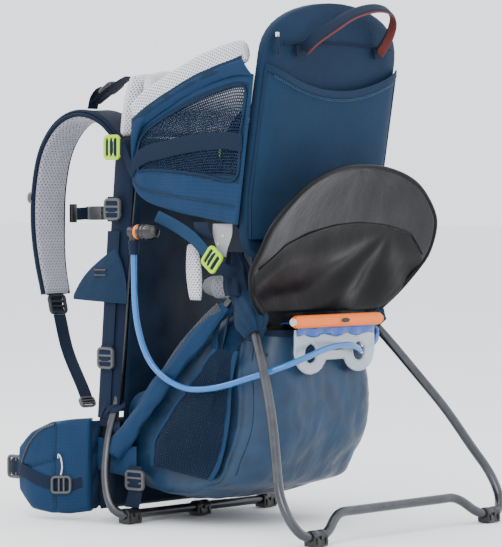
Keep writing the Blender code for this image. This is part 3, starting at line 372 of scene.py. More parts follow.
# ---- finishes ----------------------------------------------------------------------
class Finish:
    """A material's node tree, with the few operations that every finish is made of."""

    def __init__(self, name, rough=0.6, metal=0.0, **values):
        self.material = bpy.data.materials.new(name)
        self.material.use_nodes = True
        self.tree = self.material.node_tree
        self.shader = self.tree.nodes["Principled BSDF"]
        self.set("Roughness", rough)
        self.set("Metallic", metal)
        for key, value in values.items():
            self.set(key.replace("_", " "), value)
        coords = self.tree.nodes.new("ShaderNodeTexCoord")
        self.cloth = coords.outputs["UV"]
        self.place = coords.outputs["Object"]
        split = self.tree.nodes.new("ShaderNodeSeparateXYZ")
        self.tree.links.new(self.cloth, split.inputs[0])
        self.u, self.v = split.outputs[0], split.outputs[1]
        self.normal = None

    def set(self, key, value):
        self.shader.inputs[key].default_value = value

    def put(self, socket, value):
        if isinstance(value, (int, float)):
            socket.default_value = value
        elif isinstance(value, tuple):
            socket.default_value = (*value, 1.0)
        else:
            self.tree.links.new(value, socket)

    def calc(self, kind, *values):
        made = self.tree.nodes.new("ShaderNodeMath")
        made.operation = kind
        for socket, value in zip(made.inputs, values):
            self.put(socket, value)
        return made.outputs[0]

    def ramp(self, value, low, high, out_low=0.0, out_high=1.0):
        made = self.tree.nodes.new("ShaderNodeMapRange")
        made.interpolation_type = "SMOOTHSTEP"
        for socket, item in zip(made.inputs, (value, low, high, out_low, out_high)):
            self.put(socket, item)
        return made.outputs[0]

    def stretch(self, vector, x, y, z=1.0):
        made = self.tree.nodes.new("ShaderNodeMapping")
        self.tree.links.new(vector, made.inputs[0])
        made.inputs["Scale"].default_value = (x, y, z)
        return made.outputs[0]

    def noise(self, vector, scale, detail=3.0, rough=0.55):
        made = self.tree.nodes.new("ShaderNodeTexNoise")
        self.tree.links.new(vector, made.inputs["Vector"])
        made.inputs["Scale"].default_value = scale
        made.inputs["Detail"].default_value = detail
        made.inputs["Roughness"].default_value = rough
        return made.outputs["Fac"]

    def mix(self, fac, one, two):
        made = self.tree.nodes.new("ShaderNodeMix")
        made.data_type = "RGBA"
        self.put(made.inputs[0], fac)
        self.put(made.inputs[6], one)
        self.put(made.inputs[7], two)
        return made.outputs[2]

    def colour(self, value):
        self.put(self.shader.inputs["Base Color"], value)

    def rough(self, value):
        self.put(self.shader.inputs["Roughness"], value)

    def bump(self, height, distance, strength=1.0):
        made = self.tree.nodes.new("ShaderNodeBump")
        made.inputs["Distance"].default_value = distance
        made.inputs["Strength"].default_value = strength
        self.tree.links.new(height, made.inputs["Height"])
        if self.normal:
            self.tree.links.new(self.normal, made.inputs["Normal"])
        self.normal = made.outputs[0]
        self.tree.links.new(self.normal, self.shader.inputs["Normal"])

    def threads(self, pitch_u, pitch_v):
        """Over-and-under threads, 0 to 1."""
        a = self.calc("SINE", self.calc("MULTIPLY", self.u, math.tau / pitch_u))
        b = self.calc("SINE", self.calc("MULTIPLY", self.v, math.tau / pitch_v))
        return self.calc("MULTIPLY_ADD", self.calc("MULTIPLY", a, b), 0.5, 0.5)

    def lines(self, coordinate, pitch, width):
        """Thin lines a pitch apart, 1 on a line."""
        cell = self.calc("ABSOLUTE", self.calc("SUBTRACT", self.calc("FRACT", self.calc(
            "DIVIDE", coordinate, pitch)), 0.5))
        return self.ramp(cell, 0.5 * width / pitch, 0.9 * width / pitch, 1.0, 0.0)

    def holes(self, pitch_u, pitch_v, radius, squash=1.0):
        """Staggered round holes, 1 inside a hole."""
        row = self.calc("DIVIDE", self.v, pitch_v)
        odd = self.calc("MULTIPLY", self.calc("FLOORED_MODULO", self.calc("FLOOR", row), 2.0), 0.5)
        col = self.calc("ADD", self.calc("DIVIDE", self.u, pitch_u), odd)
        du = self.calc("MULTIPLY", self.calc("SUBTRACT", self.calc("FRACT", col), 0.5), pitch_u)
        dv = self.calc("MULTIPLY", self.calc("SUBTRACT", self.calc("FRACT", row), 0.5), pitch_v * squash)
        far = self.calc("SQRT", self.calc("ADD", self.calc("MULTIPLY", du, du),
                                          self.calc("MULTIPLY", dv, dv)))
        return self.ramp(far, radius * 0.72, radius * 1.15, 1.0, 0.0)

    def see_through(self, mask):
        """Nothing there where the mask is 1."""
        clear = self.tree.nodes.new("ShaderNodeBsdfTransparent")
        blend = self.tree.nodes.new("ShaderNodeMixShader")
        self.put(blend.inputs[0], mask)
        self.tree.links.new(self.shader.outputs[0], blend.inputs[1])
        self.tree.links.new(clear.outputs[0], blend.inputs[2])
        self.tree.links.new(blend.outputs[0], self.tree.nodes["Material Output"].inputs["Surface"])


def shade(colour, factor):
    return tuple(min(1.0, c * factor) for c in colour)


def woven(name, colour, rough=0.62, pitch=0.0011, ripstop=0.0, sheen=0.03, wrinkle=0.0009, melange=0.0,
          grain=55.0):
    """Plain cloth: threads, an optional ripstop grid, a melange of yarns and soft creases."""
    made = Finish(name, rough, Sheen_Weight=sheen, Sheen_Roughness=0.45, Specular_IOR_Level=0.10)
    weave = made.threads(pitch, pitch)
    patchy = made.noise(made.cloth, 14.0, 4.0)
    tone = made.mix(made.ramp(patchy, 0.25, 0.75), shade(colour, 0.88), shade(colour, 1.10))
    if melange:
        warp = made.noise(made.stretch(made.cloth, 220.0, 1900.0), 1.0, 2.0)
        weft = made.noise(made.stretch(made.cloth, 1500.0, 180.0), 1.0, 2.0)
        yarn = made.calc("MULTIPLY_ADD", made.calc("ADD", warp, weft), 0.5, 0.0)
        tone = made.mix(made.ramp(yarn, 0.40, 0.60, 0.0, melange), tone, shade(colour, 1.9))
    if ripstop:
        grid = made.calc("MAXIMUM", made.lines(made.u, ripstop, ripstop * 0.16),
                         made.lines(made.v, ripstop, ripstop * 0.16))
        tone = made.mix(made.calc("MULTIPLY", grid, 0.32), tone, shade(colour, 1.7))
        made.bump(grid, 0.00012, 0.5)
    made.colour(made.mix(made.calc("MULTIPLY", weave, 0.22), tone, shade(colour, 0.62)))
    made.bump(weave, 0.00010, 0.45)
    crease = made.noise(made.stretch(made.cloth, 1.0, 0.55), grain, 5.0, 0.6)
    made.bump(crease, wrinkle, 0.8)
    return made.material


def spacer(name, colour, hole, pitch=(0.0048, 0.0034), radius=0.00125):
    """Thick 3-D mesh: a knitted face with staggered holes; the hole colour is painted shade inside the holes.
    """
    made = Finish(name, 0.85, Sheen_Weight=0.3, Sheen_Roughness=0.5)
    mask = made.holes(pitch[0], pitch[1], radius)
    patchy = made.ramp(made.noise(made.cloth, 30.0, 3.0), 0.3, 0.7)
    knit = made.noise(made.cloth, 1400.0, 2.0)
    tone = made.mix(patchy, shade(colour, 0.93), shade(colour, 1.06))
    # inside each hole the face gives way to the hole colour, a darker copy of it: painted shade in the holes
    made.colour(made.mix(mask, made.mix(made.calc("MULTIPLY", knit, 0.25), tone, shade(colour, 0.7)), hole))
    made.bump(made.calc("SUBTRACT", 1.0, mask), 0.0007, 0.8)
    made.bump(knit, 0.0002, 0.5)
    return made.material


def net(name, colour, pitch=0.0032, radius=0.00118):
    """Open mesh that can be seen through."""
    made = Finish(name, 0.7, Sheen_Weight=0.02, Specular_IOR_Level=0.10)
    knit = made.noise(made.cloth, 900.0, 2.0)
    made.colour(made.mix(knit, shade(colour, 0.7), shade(colour, 1.35)))
    mask = made.holes(pitch, pitch * 0.88, radius)
    made.bump(made.calc("SUBTRACT", 1.0, mask), 0.0003, 0.6)
    made.see_through(mask)
    return made.material


def tape(name, colour, rough=0.62):
    """Webbing: ribs across it and an over-and-under weave."""
    made = Finish(name, rough, Sheen_Weight=0.04, Sheen_Roughness=0.4, Specular_IOR_Level=0.10)
    ribs = made.calc("MULTIPLY_ADD", made.calc("SINE", made.calc("MULTIPLY", made.v, math.tau / 0.0017)),
                     0.5, 0.5)
    zig = made.threads(0.0026, 0.0034)
    both = made.calc("MULTIPLY_ADD", made.calc("ADD", ribs, zig), 0.5, 0.0)
    worn = made.noise(made.cloth, 60.0, 4.0)
    made.colour(made.mix(both, shade(colour, 0.72), made.mix(worn, shade(colour, 1.0), shade(colour, 1.35))))
    made.bump(both, 0.00025, 0.7)
    return made.material


def fleece(name, colour):
    made = Finish(name, 0.95, Sheen_Weight=0.7, Sheen_Roughness=0.6)
    pile = made.noise(made.cloth, 620.0, 4.0, 0.7)
    tuft = made.noise(made.cloth, 70.0, 3.0)
    made.colour(made.mix(pile, shade(colour, 0.80), made.mix(tuft, colour, shade(colour, 1.12))))
    made.bump(pile, 0.0006, 0.7)
    made.bump(tuft, 0.0012, 0.5)
    return made.material


def coated(name, colour, rough=0.34, wrinkle=0.0016, grain=32.0, coat=0.0, shine=0.22):
    """Film-coated cloth with soft shiny creases."""
    made = Finish(name, rough, Coat_Weight=coat, Coat_Roughness=0.30, Specular_IOR_Level=shine)
    cloud = made.noise(made.place, 26.0, 4.0)
    made.colour(made.mix(made.ramp(cloud, 0.3, 0.7), shade(colour, 0.8), shade(colour, 1.3)))
    made.rough(made.ramp(cloud, 0.3, 0.7, rough * 0.8, rough * 1.25))
    made.bump(made.threads(0.0008, 0.0008), 0.00005, 0.4)
    made.bump(made.noise(made.stretch(made.cloth, 1.0, 0.45), grain, 5.0, 0.55), wrinkle, 0.9)
    return made.material


def moulded(name, colour, rough=0.42, grain=900.0, coat=0.0):
    """Moulded plastic with a fine spark-eroded surface."""
    made = Finish(name, rough, Coat_Weight=coat, Specular_IOR_Level=0.45)
    fine = made.noise(made.place, grain, 3.0)
    broad = made.noise(made.place, 60.0, 3.0)
    made.colour(made.mix(broad, shade(colour, 0.92), shade(colour, 1.08)))
    made.rough(made.ramp(broad, 0.3, 0.7, rough * 0.85, rough * 1.15))
    made.bump(fine, 0.00008, 0.4)
    return made.material


def anodised(name, colour):
    """Drawn tube: satin metal with faint lengthwise lines and scuffs."""
    made = Finish(name, 0.30, 0.9, Coat_Weight=0.15, Coat_Roughness=0.25)
    drawn = made.noise(made.stretch(made.cloth, 2200.0, 14.0), 1.0, 3.0)
    scuff = made.noise(made.place, 38.0, 5.0, 0.65)
    made.colour(made.mix(made.ramp(scuff, 0.35, 0.75), colour, shade(colour, 1.35)))
    made.rough(made.ramp(made.calc("MULTIPLY_ADD", made.calc("ADD", drawn, scuff), 0.5, 0.0), 0.3, 0.7,
                         0.24, 0.38))
    made.bump(drawn, 0.00003, 0.4)
    return made.material


def translucent(name, colour, rough=0.12, weight=0.75, ior=1.45, cloudy=0.5, thin=0.0):
    """Clear or tinted soft plastic, a little cloudy."""
    made = Finish(name, rough, Transmission_Weight=weight, IOR=ior, Coat_Weight=0.3)
    haze = made.noise(made.place, 45.0, 4.0)
    made.colour(made.mix(made.calc("MULTIPLY", haze, cloudy), colour, shade(colour, 1.5)))
    made.rough(made.ramp(haze, 0.3, 0.7, rough * 0.7, rough * 1.6))
    made.bump(made.noise(made.place, 160.0, 2.0), 0.00012, 0.4)
    if thin:
        made.see_through(thin)
    return made.material


BLUE = (0.0060, 0.0270, 0.0680)
NAVY = (0.0050, 0.0110, 0.0270)
ripstop_blue = woven("ripstop_blue", BLUE, 0.46, ripstop=0.0042, wrinkle=0.0022, grain=34.0, sheen=0.02)
panel_blue = woven("melange_blue", (0.0070, 0.0240, 0.0530), 0.70, melange=0.28, wrinkle=0.0006)
deep_blue = woven("deep_blue", (0.0050, 0.0180, 0.0420), 0.60, wrinkle=0.0012, ripstop=0.0032)
bag_blue = coated("bag_blue", (0.0070, 0.0270, 0.0600), 0.38, 0.0036, 20.0, shine=0.32)
navy_cloth = woven("navy_cloth", NAVY, 0.66, wrinkle=0.0009)
wall_cloth = coated("dark_wall_cloth", (0.0060, 0.0150, 0.0330), 0.42, 0.0008, 12.0, shine=0.12)
navy_net = net("navy_open_mesh", (0.0055, 0.0150, 0.0360))
pocket_net = net("pocket_mesh", (0.0040, 0.0120, 0.0290), 0.0036, 0.0011)
navy_tape = tape("navy_webbing", (0.0060, 0.0130, 0.0300))
blue_tape = tape("blue_webbing", (0.0090, 0.0340, 0.0760))
# the second colour of each spacer mesh is painted shade inside its holes
white_spacer = spacer("white_spacer_mesh", (0.60, 0.60, 0.64), (0.15, 0.15, 0.18))
grey_spacer = spacer("grey_spacer_mesh", (0.30, 0.30, 0.35), (0.09, 0.09, 0.11), (0.0062, 0.0040), 0.0012)
dark_spacer = spacer("dark_spacer_mesh", (0.012, 0.018, 0.034), (0.004, 0.005, 0.010), (0.005, 0.0040),
                     0.0011)
chin_fleece = fleece("chin_fleece", (0.46, 0.46, 0.45))
pink_tape = tape("dusty_pink_webbing", (0.115, 0.030, 0.027))
black_film = coated("black_coated_cloth", (0.0035, 0.0035, 0.0038), 0.36, 0.0040, 12.0, shine=0.14)
silver_film = coated("silvery_coated_film", (0.0075, 0.0078, 0.0090), 0.28, 0.0026, 22.0, shine=0.24)
grey_moulded = moulded("grey_moulded", (0.060, 0.062, 0.066))
dark_moulded = moulded("dark_moulded", (0.009, 0.009, 0.010), 0.38)
lime_moulded = moulded("lime_moulded", (0.36, 0.60, 0.004), 0.40)
orange_moulded = moulded("orange_moulded", (0.78, 0.150, 0.003), 0.36)
white_moulded = moulded("white_moulded", (0.55, 0.55, 0.55), 0.4)
plate_grey = moulded("pale_plate", (0.25, 0.26, 0.27), 0.5)
tube_metal = anodised("anodised_tube", (0.055, 0.058, 0.064))
hose_blue = translucent("blue_hose", (0.022, 0.17, 0.50), 0.14, 0.35)
film_blue = translucent("blue_film", (0.030, 0.12, 0.52), 0.10, 0.40, thin=0.12)
grip_clear = translucent("milky_clear", (0.50, 0.58, 0.66), 0.16, 0.30, cloudy=0.3, thin=0.50)
valve_rubber = moulded("valve_rubber", (0.007, 0.007, 0.008), 0.30, 400.0, 0.2)
thread_pale = moulded("pale_thread", (0.025, 0.075, 0.14), 0.7)
thread_dark = moulded("dark_thread", (0.004, 0.008, 0.018), 0.7)


# ---- frame and kickstand -------------------------------------------------------------
def frame_tubes():
    """The front hoop, the kickstand's loop and the two side stays."""
    right = [(PACK_HALF - 0.022, upright_line(0.540), 0.540), (PACK_HALF - 0.013, upright_line(0.420), 0.420),
             (PACK_HALF - 0.009, upright_line(0.300), 0.300), (PACK_HALF - 0.003, upright_line(0.180), 0.180),
             (PACK_HALF + 0.013, upright_line(0.110), 0.110), (PACK_HALF + 0.030, 0.210, 0.060),
             (PACK_HALF + 0.036, 0.195, TUBE_Z + 0.014), (PACK_HALF + 0.028, 0.183, TUBE_Z + 0.0015),
             (PACK_HALF + 0.012, 0.181, TUBE_Z)]
    route = smooth_route(mirror(right, -1) + [Vector((0, 0.181, TUBE_Z))] + mirror(right[::-1], 1), 0.007)
    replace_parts(rod("frame_tube", route, TUBE_RADIUS, 20, tube_metal, "frame", up=Y), "front_frame_tube")
    s = math.radians(31.0)
    leg = [(PIVOT_X, PIVOT_Y - 0.0192 * math.sin(s), PIVOT_Z - 0.0192 * math.cos(s)),
           (PIVOT_X, PIVOT_Y - 0.0322 * math.sin(s), PIVOT_Z - 0.0322 * math.cos(s)),
           (0.121, -0.017, 0.277), (0.135, -0.039, 0.250), (0.159, -0.074, 0.200), (0.184, -0.106, 0.150),
           (0.207, -0.132, 0.100), (0.221, -0.148, 0.070), (0.2245, -0.159, 0.050), (0.222, -0.1685, 0.032),
           (0.211, -0.176, TUBE_Z + 0.0045), (0.196, -0.179, TUBE_Z), (0.174, -0.179, TUBE_Z),
           (0.156, -0.176, TUBE_Z + 0.006), (0.136, -0.170, TUBE_Z + 0.019), (0.118, -0.167, TUBE_Z + 0.025),
           (0.088, -0.167, TUBE_Z + 0.0255)]
    middle = [Vector((0, -0.167, TUBE_Z + 0.0255))]
    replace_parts(rod("kickstand_loop", smooth_route(mirror(leg, -1) + middle + mirror(leg[::-1], 1), 0.007),
                    TUBE_RADIUS, 20, tube_metal, "kickstand", up=Y), "kickstand_tube")
    for label, side in SIDES:
        low = Vector((0.139, upright_line(0.100) - 0.0145, 0.100))
        high = Vector((0.112, PIVOT_Y + 0.0145, PIVOT_Z - 0.020))
        spots = smooth_route(mirror([low, (low + high) / 2 + X * 0.009, high], side), 0.010)
        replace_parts(rod("side_stay_" + label, spots, 0.0048, 14, tube_metal, "frame", up=X),
                    "side_strut_" + label)


def foot_clips():
    """A snap-on clip at each foot: a collar round the tube, a rubber sole and a screw."""
    spots = [("front_foot_left", -0.142, 0.181, "frame"), ("front_foot_middle", 0.0, 0.181, "frame"),
             ("front_foot_right", 0.142, 0.181, "frame"),
             ("kickstand_foot_left", -0.185, -0.179, "kickstand"),
             ("kickstand_foot_right", 0.185, -0.179, "kickstand")]
    for name, x, y, body in spots:
        shape = Shape()
        outline = [(0.0088 * math.cos(t) * 1.08, 0.0088 * math.sin(t) + TUBE_Z) for t in
                   (math.radians(d) for d in range(-20, 201, 20))]
        outline += [(-0.0098, 0.0062), (-0.0090, 0.0006), (0.0090, 0.0006), (0.0098, 0.0062)]
        rows = []
        for along, grow in ((-0.0138, 0.90), (-0.0125, 1.0), (-0.005, 1.0), (-0.004, 0.96), (0.004, 0.96),
                            (0.005, 1.0), (0.0125, 1.0), (0.0138, 0.90)):
            rows.append([Vector((x + along, y + a * grow, TUBE_Z + (b - TUBE_Z) * (grow if b > 0.005 else 1)))
                         for a, b in outline])
        shape.grid(rows, wrap=True, cap=True)
        for turn in (-1, 1):
            shape.block(Vector((x + 0.0085 * turn, y - 0.0102, 0.0075)), (X, Z, Y), (0.004, 0.008, 0.0022))
        shape.tube([Vector((x, y - 0.0090, TUBE_Z)), Vector((x, y - 0.0112, TUBE_Z))], 0.0026, 14, up=Z)
        shape.tube([Vector((x, y, 0.0012)), Vector((x, y, 0.0))], 0.0072, 16, up=Y)
        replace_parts(shape.make(name + "_clip", dark_moulded, body, 35.0), name)


def paint_hardware():
    """Finishes on the CAD nodes that stay in view."""
    for name, finish in (("frame_crossbar", tube_metal), ("hinge_pin_left", tube_metal),
                         ("hinge_pin_right", tube_metal), ("kickstand_eyelet_left", tube_metal),
                         ("kickstand_eyelet_right", tube_metal), ("hinge_bracket_left", dark_moulded),
                         ("hinge_bracket_right", dark_moulded)):
        mesh = nodes[name].data
        mesh.materials.clear()
        mesh.materials.append(finish)
        mesh.set_sharp_from_angle(angle=math.radians(35))


def hinge_sleeves():
    """Gathered cloth over each hinge, and a second gather over the top of the leg."""
    for label, side in SIDES:
        leg = mirror([(0.104, 0.014, 0.318), (0.109, -0.002, 0.300), (0.119, -0.015, 0.282),
                      (0.129, -0.030, 0.262)], side)
        line = paced(leg)
        rows = []
        for j in range(30):
            t = j / 29
            run = (line(min(1, t + 0.02)) - line(max(0, t - 0.02))).normalized()
            wide = run.cross(X).normalized()
            tall = wide.cross(run)
            ring = []
            for turn in turns(60):
                pleat = 0.0020 * math.sin(11 * turn + 2.2 * math.sin(5 * t)) * (0.4 + 0.8 * t)
                body = 0.0205 + 0.0050 * math.sin(math.pi * t) - 0.0055 * smooth((t - 0.7) / 0.3)
                lump = 0.0035 * wobble((math.cos(turn), math.sin(turn), t * 3), 1.1, side + 2)
                reach = body + pleat + lump
                ring.append(line(t) + wide * reach * math.cos(turn) + tall * reach * math.sin(turn) * 0.72)
            rows.append(ring)
        shape = Shape()
        shape.grid(rows, wrap=True, cap=True)
        sleeve = shape.make("leg_sleeve_" + label, deep_blue, None, 80.0)
        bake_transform(sleeve)
        rows = []
        for j in range(22):
            t = j / 21
            z = 0.3105 + 0.058 * t
            ring = []
            for turn in turns(56):
                pleat = 0.0018 * math.sin(9 * turn + 3.0 * t) + 0.0040 * wobble(
                    (math.cos(turn), math.sin(turn), t * 2.5), 1.6, side + 9)
                reach = 0.0205 * (1 - 0.45 * smooth((t - 0.55) / 0.45)) + pleat
                ring.append(Vector((side * (0.1125 + 0.004 * t), 0.012 + 0.004 * t, z))
                            + Vector((0.72 * reach * math.cos(turn), reach * math.sin(turn), 0)))
            rows.append(ring)
        shape = Shape()
        shape.grid(rows, wrap=True, cap=True)
        shape.make("hinge_gather_" + label, navy_cloth, "frame", 80.0)


# ---- wearer's back -------------------------------------------------------------------
def back_panels():
    """The padded board, columns and mesh that face the wearer, and the wall in front of them."""
    def board(u, v):
        z = 0.147 + 0.374 * v
        return Vector(((2 * u - 1) * (0.1295 - 0.004 * v), back_face(z) - 0.0175, z))

    base = panel("back_board", board, (40, 60), 0.0155, dark_spacer, "frame", edge=0.008, crumple=0.0006)
    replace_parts(base, "back_pad")
    for label, side in SIDES:
        def column(u, v, side=side):
            z = 0.156 + 0.356 * v
            middle = 0.070 - 0.008 * math.sin(math.pi * v)
            return Vector((side * (middle + (u - 0.5) * 0.078), back_face(z) - 0.0075, z))

        panel("back_column_" + label, column, (26, 90), 0.0145, grey_spacer, "frame", edge=0.012,
                        relief=lambda u, v: -0.0022 * math.exp(-((v * 4) % 1 - 0.5) ** 2 / 0.0009))
        for turn, rail in ((0, 0.031), (1, 0.109)):
            line = [(side * rail, back_face(z) - 0.008, z) for z in (0.158, 0.25, 0.34, 0.43, 0.510)]
            rod(f"back_piping_{label}_{turn}", smooth_route(line, 0.01), 0.0018, 8, navy_tape, "frame", up=Y)

    def neck(u, v):
        z = 0.5235 + 0.0870 * v
        across = (2 * u - 1) * (0.1255 - 0.012 * v * v)
        y = back_face(z) - 0.0135 - 0.10 * max(0.0, z - 0.580)
        return Vector((across, y, z - 0.005 * (2 * u - 1) ** 4 * v))

    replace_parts(panel("neck_mesh", neck, (60, 30), 0.0245, white_spacer, "frame", edge=0.011,
                                crumple=0.0012, grain=26), "neck_pad")

    def lumbar(u, v):
        z = 0.0135 + 0.125 * v
        return Vector(((2 * u - 1) * 0.1265, back_face(z) - 0.0095, z))

    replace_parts(panel("lumbar_body", lumbar, (50, 30), 0.028, navy_cloth, "frame", edge=0.012,
                                crumple=0.0008), "lumbar_pad")

    def lumbar_mesh(u, v):
        z = 0.027 + 0.096 * v
        return Vector(((2 * u - 1) * 0.098, back_face(z) + 0.0035 - 0.003 * (2 * u - 1) ** 2, z))

    panel("lumbar_mesh", lumbar_mesh, (50, 26), 0.010, grey_spacer, "frame", edge=0.010,
                    relief=lambda u, v: -0.002 * math.exp(-(v - 0.5) ** 2 / 0.002))

    def wall(u, v):
        z = 0.127 + 0.388 * v
        fold = 0.0016 * math.sin(5.0 * u + 2.0 * v) * math.sin(math.pi * v)
        return Vector(((2 * u - 1) * 0.1255, upright_line(z) - 0.0095 - fold, z))

    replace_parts(panel("front_wall_cloth", wall, (60, 80), 0.0030, wall_cloth, "frame", edge=0.002,
                      crumple=0.0010, grain=14), "front_wall")


def side_covers():
    """The cloth and webbing that cover each upright, with their ladder-locks and flaps."""
    for label, side in SIDES:
        def cover(u, v, side=side):
            z = 0.128 + 0.392 * v
            y = lerp(upright_line(z) - 0.0075, back_face(z) - 0.004, u)
            return Vector((side * (0.1320 + 0.0035 * math.sin(math.pi * u) - 0.004 * v), y, z))

        panel("upright_cover_" + label, cover, (14, 70), 0.0022, navy_cloth, "frame", edge=0.0015,
              crumple=0.0010, grain=30)
        line = [(side * 0.1378, back_face(z) - 0.017, z) for z in (0.140, 0.20, 0.26, 0.33, 0.395)]
        strap("upright_webbing_" + label, line, Y, 0.022, 0.0018, navy_tape, "frame", crumple=0.0004)
        for index, (y, z) in enumerate(((0.2270, 0.222), (0.2140, 0.4245))):
            centre = Vector((side * 0.1415, y, z))
            lock(f"upright_lock_{label}_{index}", centre, Z, Y * side, grey_moulded, "frame",
                 (0.030, 0.030))
            threaded(f"upright_lock_webbing_{label}_{index}", centre, Z, Y * side, navy_tape, "frame",
                     0.017, 0.020)

        def flap(u, v, side=side):
            top = Vector((0.1375, 0.2110, 0.372))
            low = Vector((0.1400, lerp(0.188, 0.2930, u), lerp(0.2965, 0.3010, u)))
            bend = low.lerp(top, v ** 0.9) + X * 0.004 * math.sin(math.pi * u) * (1 - v)
            bend.y += (0.020 * math.sin(math.pi * v)) * (u - 0.3)
            return Vector((side * bend.x, min(bend.y, 0.289), bend.z))

        panel("stabiliser_flap_" + label, flap, (22, 26), 0.0022, deep_blue, "frame", edge=0.0015,
              crumple=0.0016, grain=40)
        shape = Shape()
        bar = Vector((side * 0.1425, 0.2360, 0.338))
        for lift in (-0.0035, 0.0035):
            shape.tube([bar + Z * lift - Y * 0.011, bar + Z * lift + Y * 0.011], 0.0016, 8, up=X)
        shape.make("flap_bar_" + label, dark_moulded, "frame")

        def base_flap(u, v, side=side):
            y = lerp(0.178, 0.2500, u)
            z = lerp(0.060 + 0.008 * u, 0.1130 - 0.010 * (1 - u), v)
            return Vector((side * (0.1330 + 0.006 * math.sin(math.pi * v) * math.sin(math.pi * u)), y, z))

        panel("base_flap_" + label, base_flap, (24, 20), 0.0028, ripstop_blue, "frame", edge=0.002,
              crumple=0.0026, grain=36, seed=side)
        centre = Vector((side * 0.1405, 0.1740, 0.0585))
        lock("base_lock_" + label, centre, Z, Y * side, grey_moulded, "frame", (0.034, 0.028))
        threaded("base_lock_webbing_" + label, centre, Z, Y * side, navy_tape, "frame", 0.019, 0.023)
        drop = [(side * 0.1385, 0.1745, 0.046), (side * 0.1400, 0.1760, 0.034),
                (side * 0.1415, 0.1790, 0.0215)]
        strap("base_drop_" + label, drop, Y, 0.026, 0.0022, navy_tape, "frame")
        tab = [(side * 0.1335, 0.2180, 0.136), (side * 0.1385, 0.2130, 0.128),
               (side * 0.1370, 0.2080, 0.1165)]
        strap("side_tab_" + label, tab, Y, 0.020, 0.0020, navy_tape, "frame")
        for index in range(3):
            spots = [(side * 0.136, 0.196 + 0.012 * index, 0.160 - 0.004 * index),
                     (side * 0.1405, 0.208 + 0.010 * index, 0.152 + 0.003 * index),
                     (side * 0.1385, 0.226 + 0.007 * index, 0.150 - 0.005 * index)]
            strap(f"slack_strap_{label}_{index}", spots, Z, 0.007, 0.0014, navy_tape, "frame")


# ---- lower bag -------------------------------------------------------------------------
def bag_half(z):
    return PACK_HALF - 0.010 - 0.36 * max(0.0, z - 0.215)


def bag_body():
    """The pack bag with its rim tape, corner seams and black liner."""
    rear = [(bag_rear(z), z) for z in (0.262, 0.235, 0.205, 0.170, 0.135, 0.105, 0.080, 0.060)]
    base = [(0.046, 0.046), (0.082, 0.0335), (0.122, 0.030), (0.155, 0.034), (0.182, 0.046)]
    front = [(0.2037, 0.066), (0.2037, 0.120), (0.1997, 0.165)]
    slope = [(0.150, 0.192), (0.100, 0.228), (0.055, 0.262), (0.022, 0.281), (0.014, 0.284)]
    outline = paced([(0, y, z) for y, z in rear + base + front + slope])
    count, columns = 110, 56

    def at(u, t):
        spot = outline(t)
        across = 2 * u - 1
        rearward = clamp((0.090 - spot.y) / 0.120)
        lift = 0.012 * abs(across) ** 4 * max(0.0, 1 - (spot.z - 0.030) / 0.040)
        spot = Vector((across * (bag_half(spot.z) - 0.001), spot.y + 0.050 * abs(across) ** 8 * rearward,
                       spot.z + lift))
        out = Vector((0, -1, 0)) if t < 0.34 else Vector((0, 0, -1)) if t < 0.60 else Vector((0, 0.5, 0.6))
        pull = 0.0052 * wobble((spot.x * 0.7 + spot.z * 0.5, 0.3 * spot.y, spot.z - spot.x * 0.35), 15.0, 3)
        pull += 0.0028 * wobble((spot.x + spot.z, spot.y, spot.z * 1.4 - spot.x), 34.0, 8)
        fade = min(1.0, t * 16, (1 - t) * 10)
        return spot - out * abs(pull) * fade * 0.85 - out * 0.0012

    shape = Shape()
    rows = [[at(i / columns, j / count) for i in range(columns + 1)] for j in range(count + 1)]
    shape.grid(rows)
    for end, flip in ((0, True), (columns, False)):
        ring = [row[end] for row in rows]
        centre = Vector((ring[0].x, 0.075, 0.140))
        web = []
        side = -1 if end == 0 else 1
        for f in (1 - step / 8 for step in range(9)):
            bulge = 0.0016 * (1 - f * f) * side
            web.append([Vector((centre.x * (1 - f) + p.x * f + bulge, centre.y + (p.y - centre.y) * f,
                                centre.z + (p.z - centre.z) * f)) for p in ring])
        shape.grid(web, flip=flip)
    bag = shape.make("bag_shell", bag_blue, "frame", 75.0)
    wall = bag.modifiers.new("cloth", "SOLIDIFY")
    wall.thickness = 0.0012
    wall.offset = -1.0
    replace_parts(bag, "pack_bag")
    rim = [at(i / 40, 0.004) - Y * 0.0016 + Z * 0.001 for i in range(41)]
    strap("bag_rim_tape", rim, Z, 0.011, 0.0018, navy_tape, "frame")
    for label, side in SIDES:
        seam = [at(0.5 + side * 0.478, t) for t in [0.02 + 0.03 * k for k in range(12)]]
        rod("bag_seam_" + label, smooth_route(seam, 0.006), 0.0013, 8, deep_blue, "frame", up=X)

    def liner(u, v):
        x = lerp(-0.108, 0.098, u)
        top = 0.286 + 0.013 * math.sin(math.pi * clamp((x + 0.125) / 0.2))
        z = lerp(0.225, top, v)
        corner = bag_rear(z) + 0.050 * clamp(abs(x) / bag_half(z)) ** 8 + 0.0035
        tucked = -0.0285 - 0.005 * math.sin(math.pi * u) * v - 0.004 * v
        return Vector((x, lerp(max(corner, tucked), tucked, smooth((z - 0.258) / 0.02)), z))

    panel("bag_liner", liner, (46, 16), 0.0016, black_film, "frame", edge=0.001, crumple=0.0016, grain=40)
    top = [liner(u / 14, 1.0) for u in range(15)]
    rod("bag_liner_binding", smooth_route(top, 0.006), 0.0012, 8, navy_tape, "frame", up=Y)


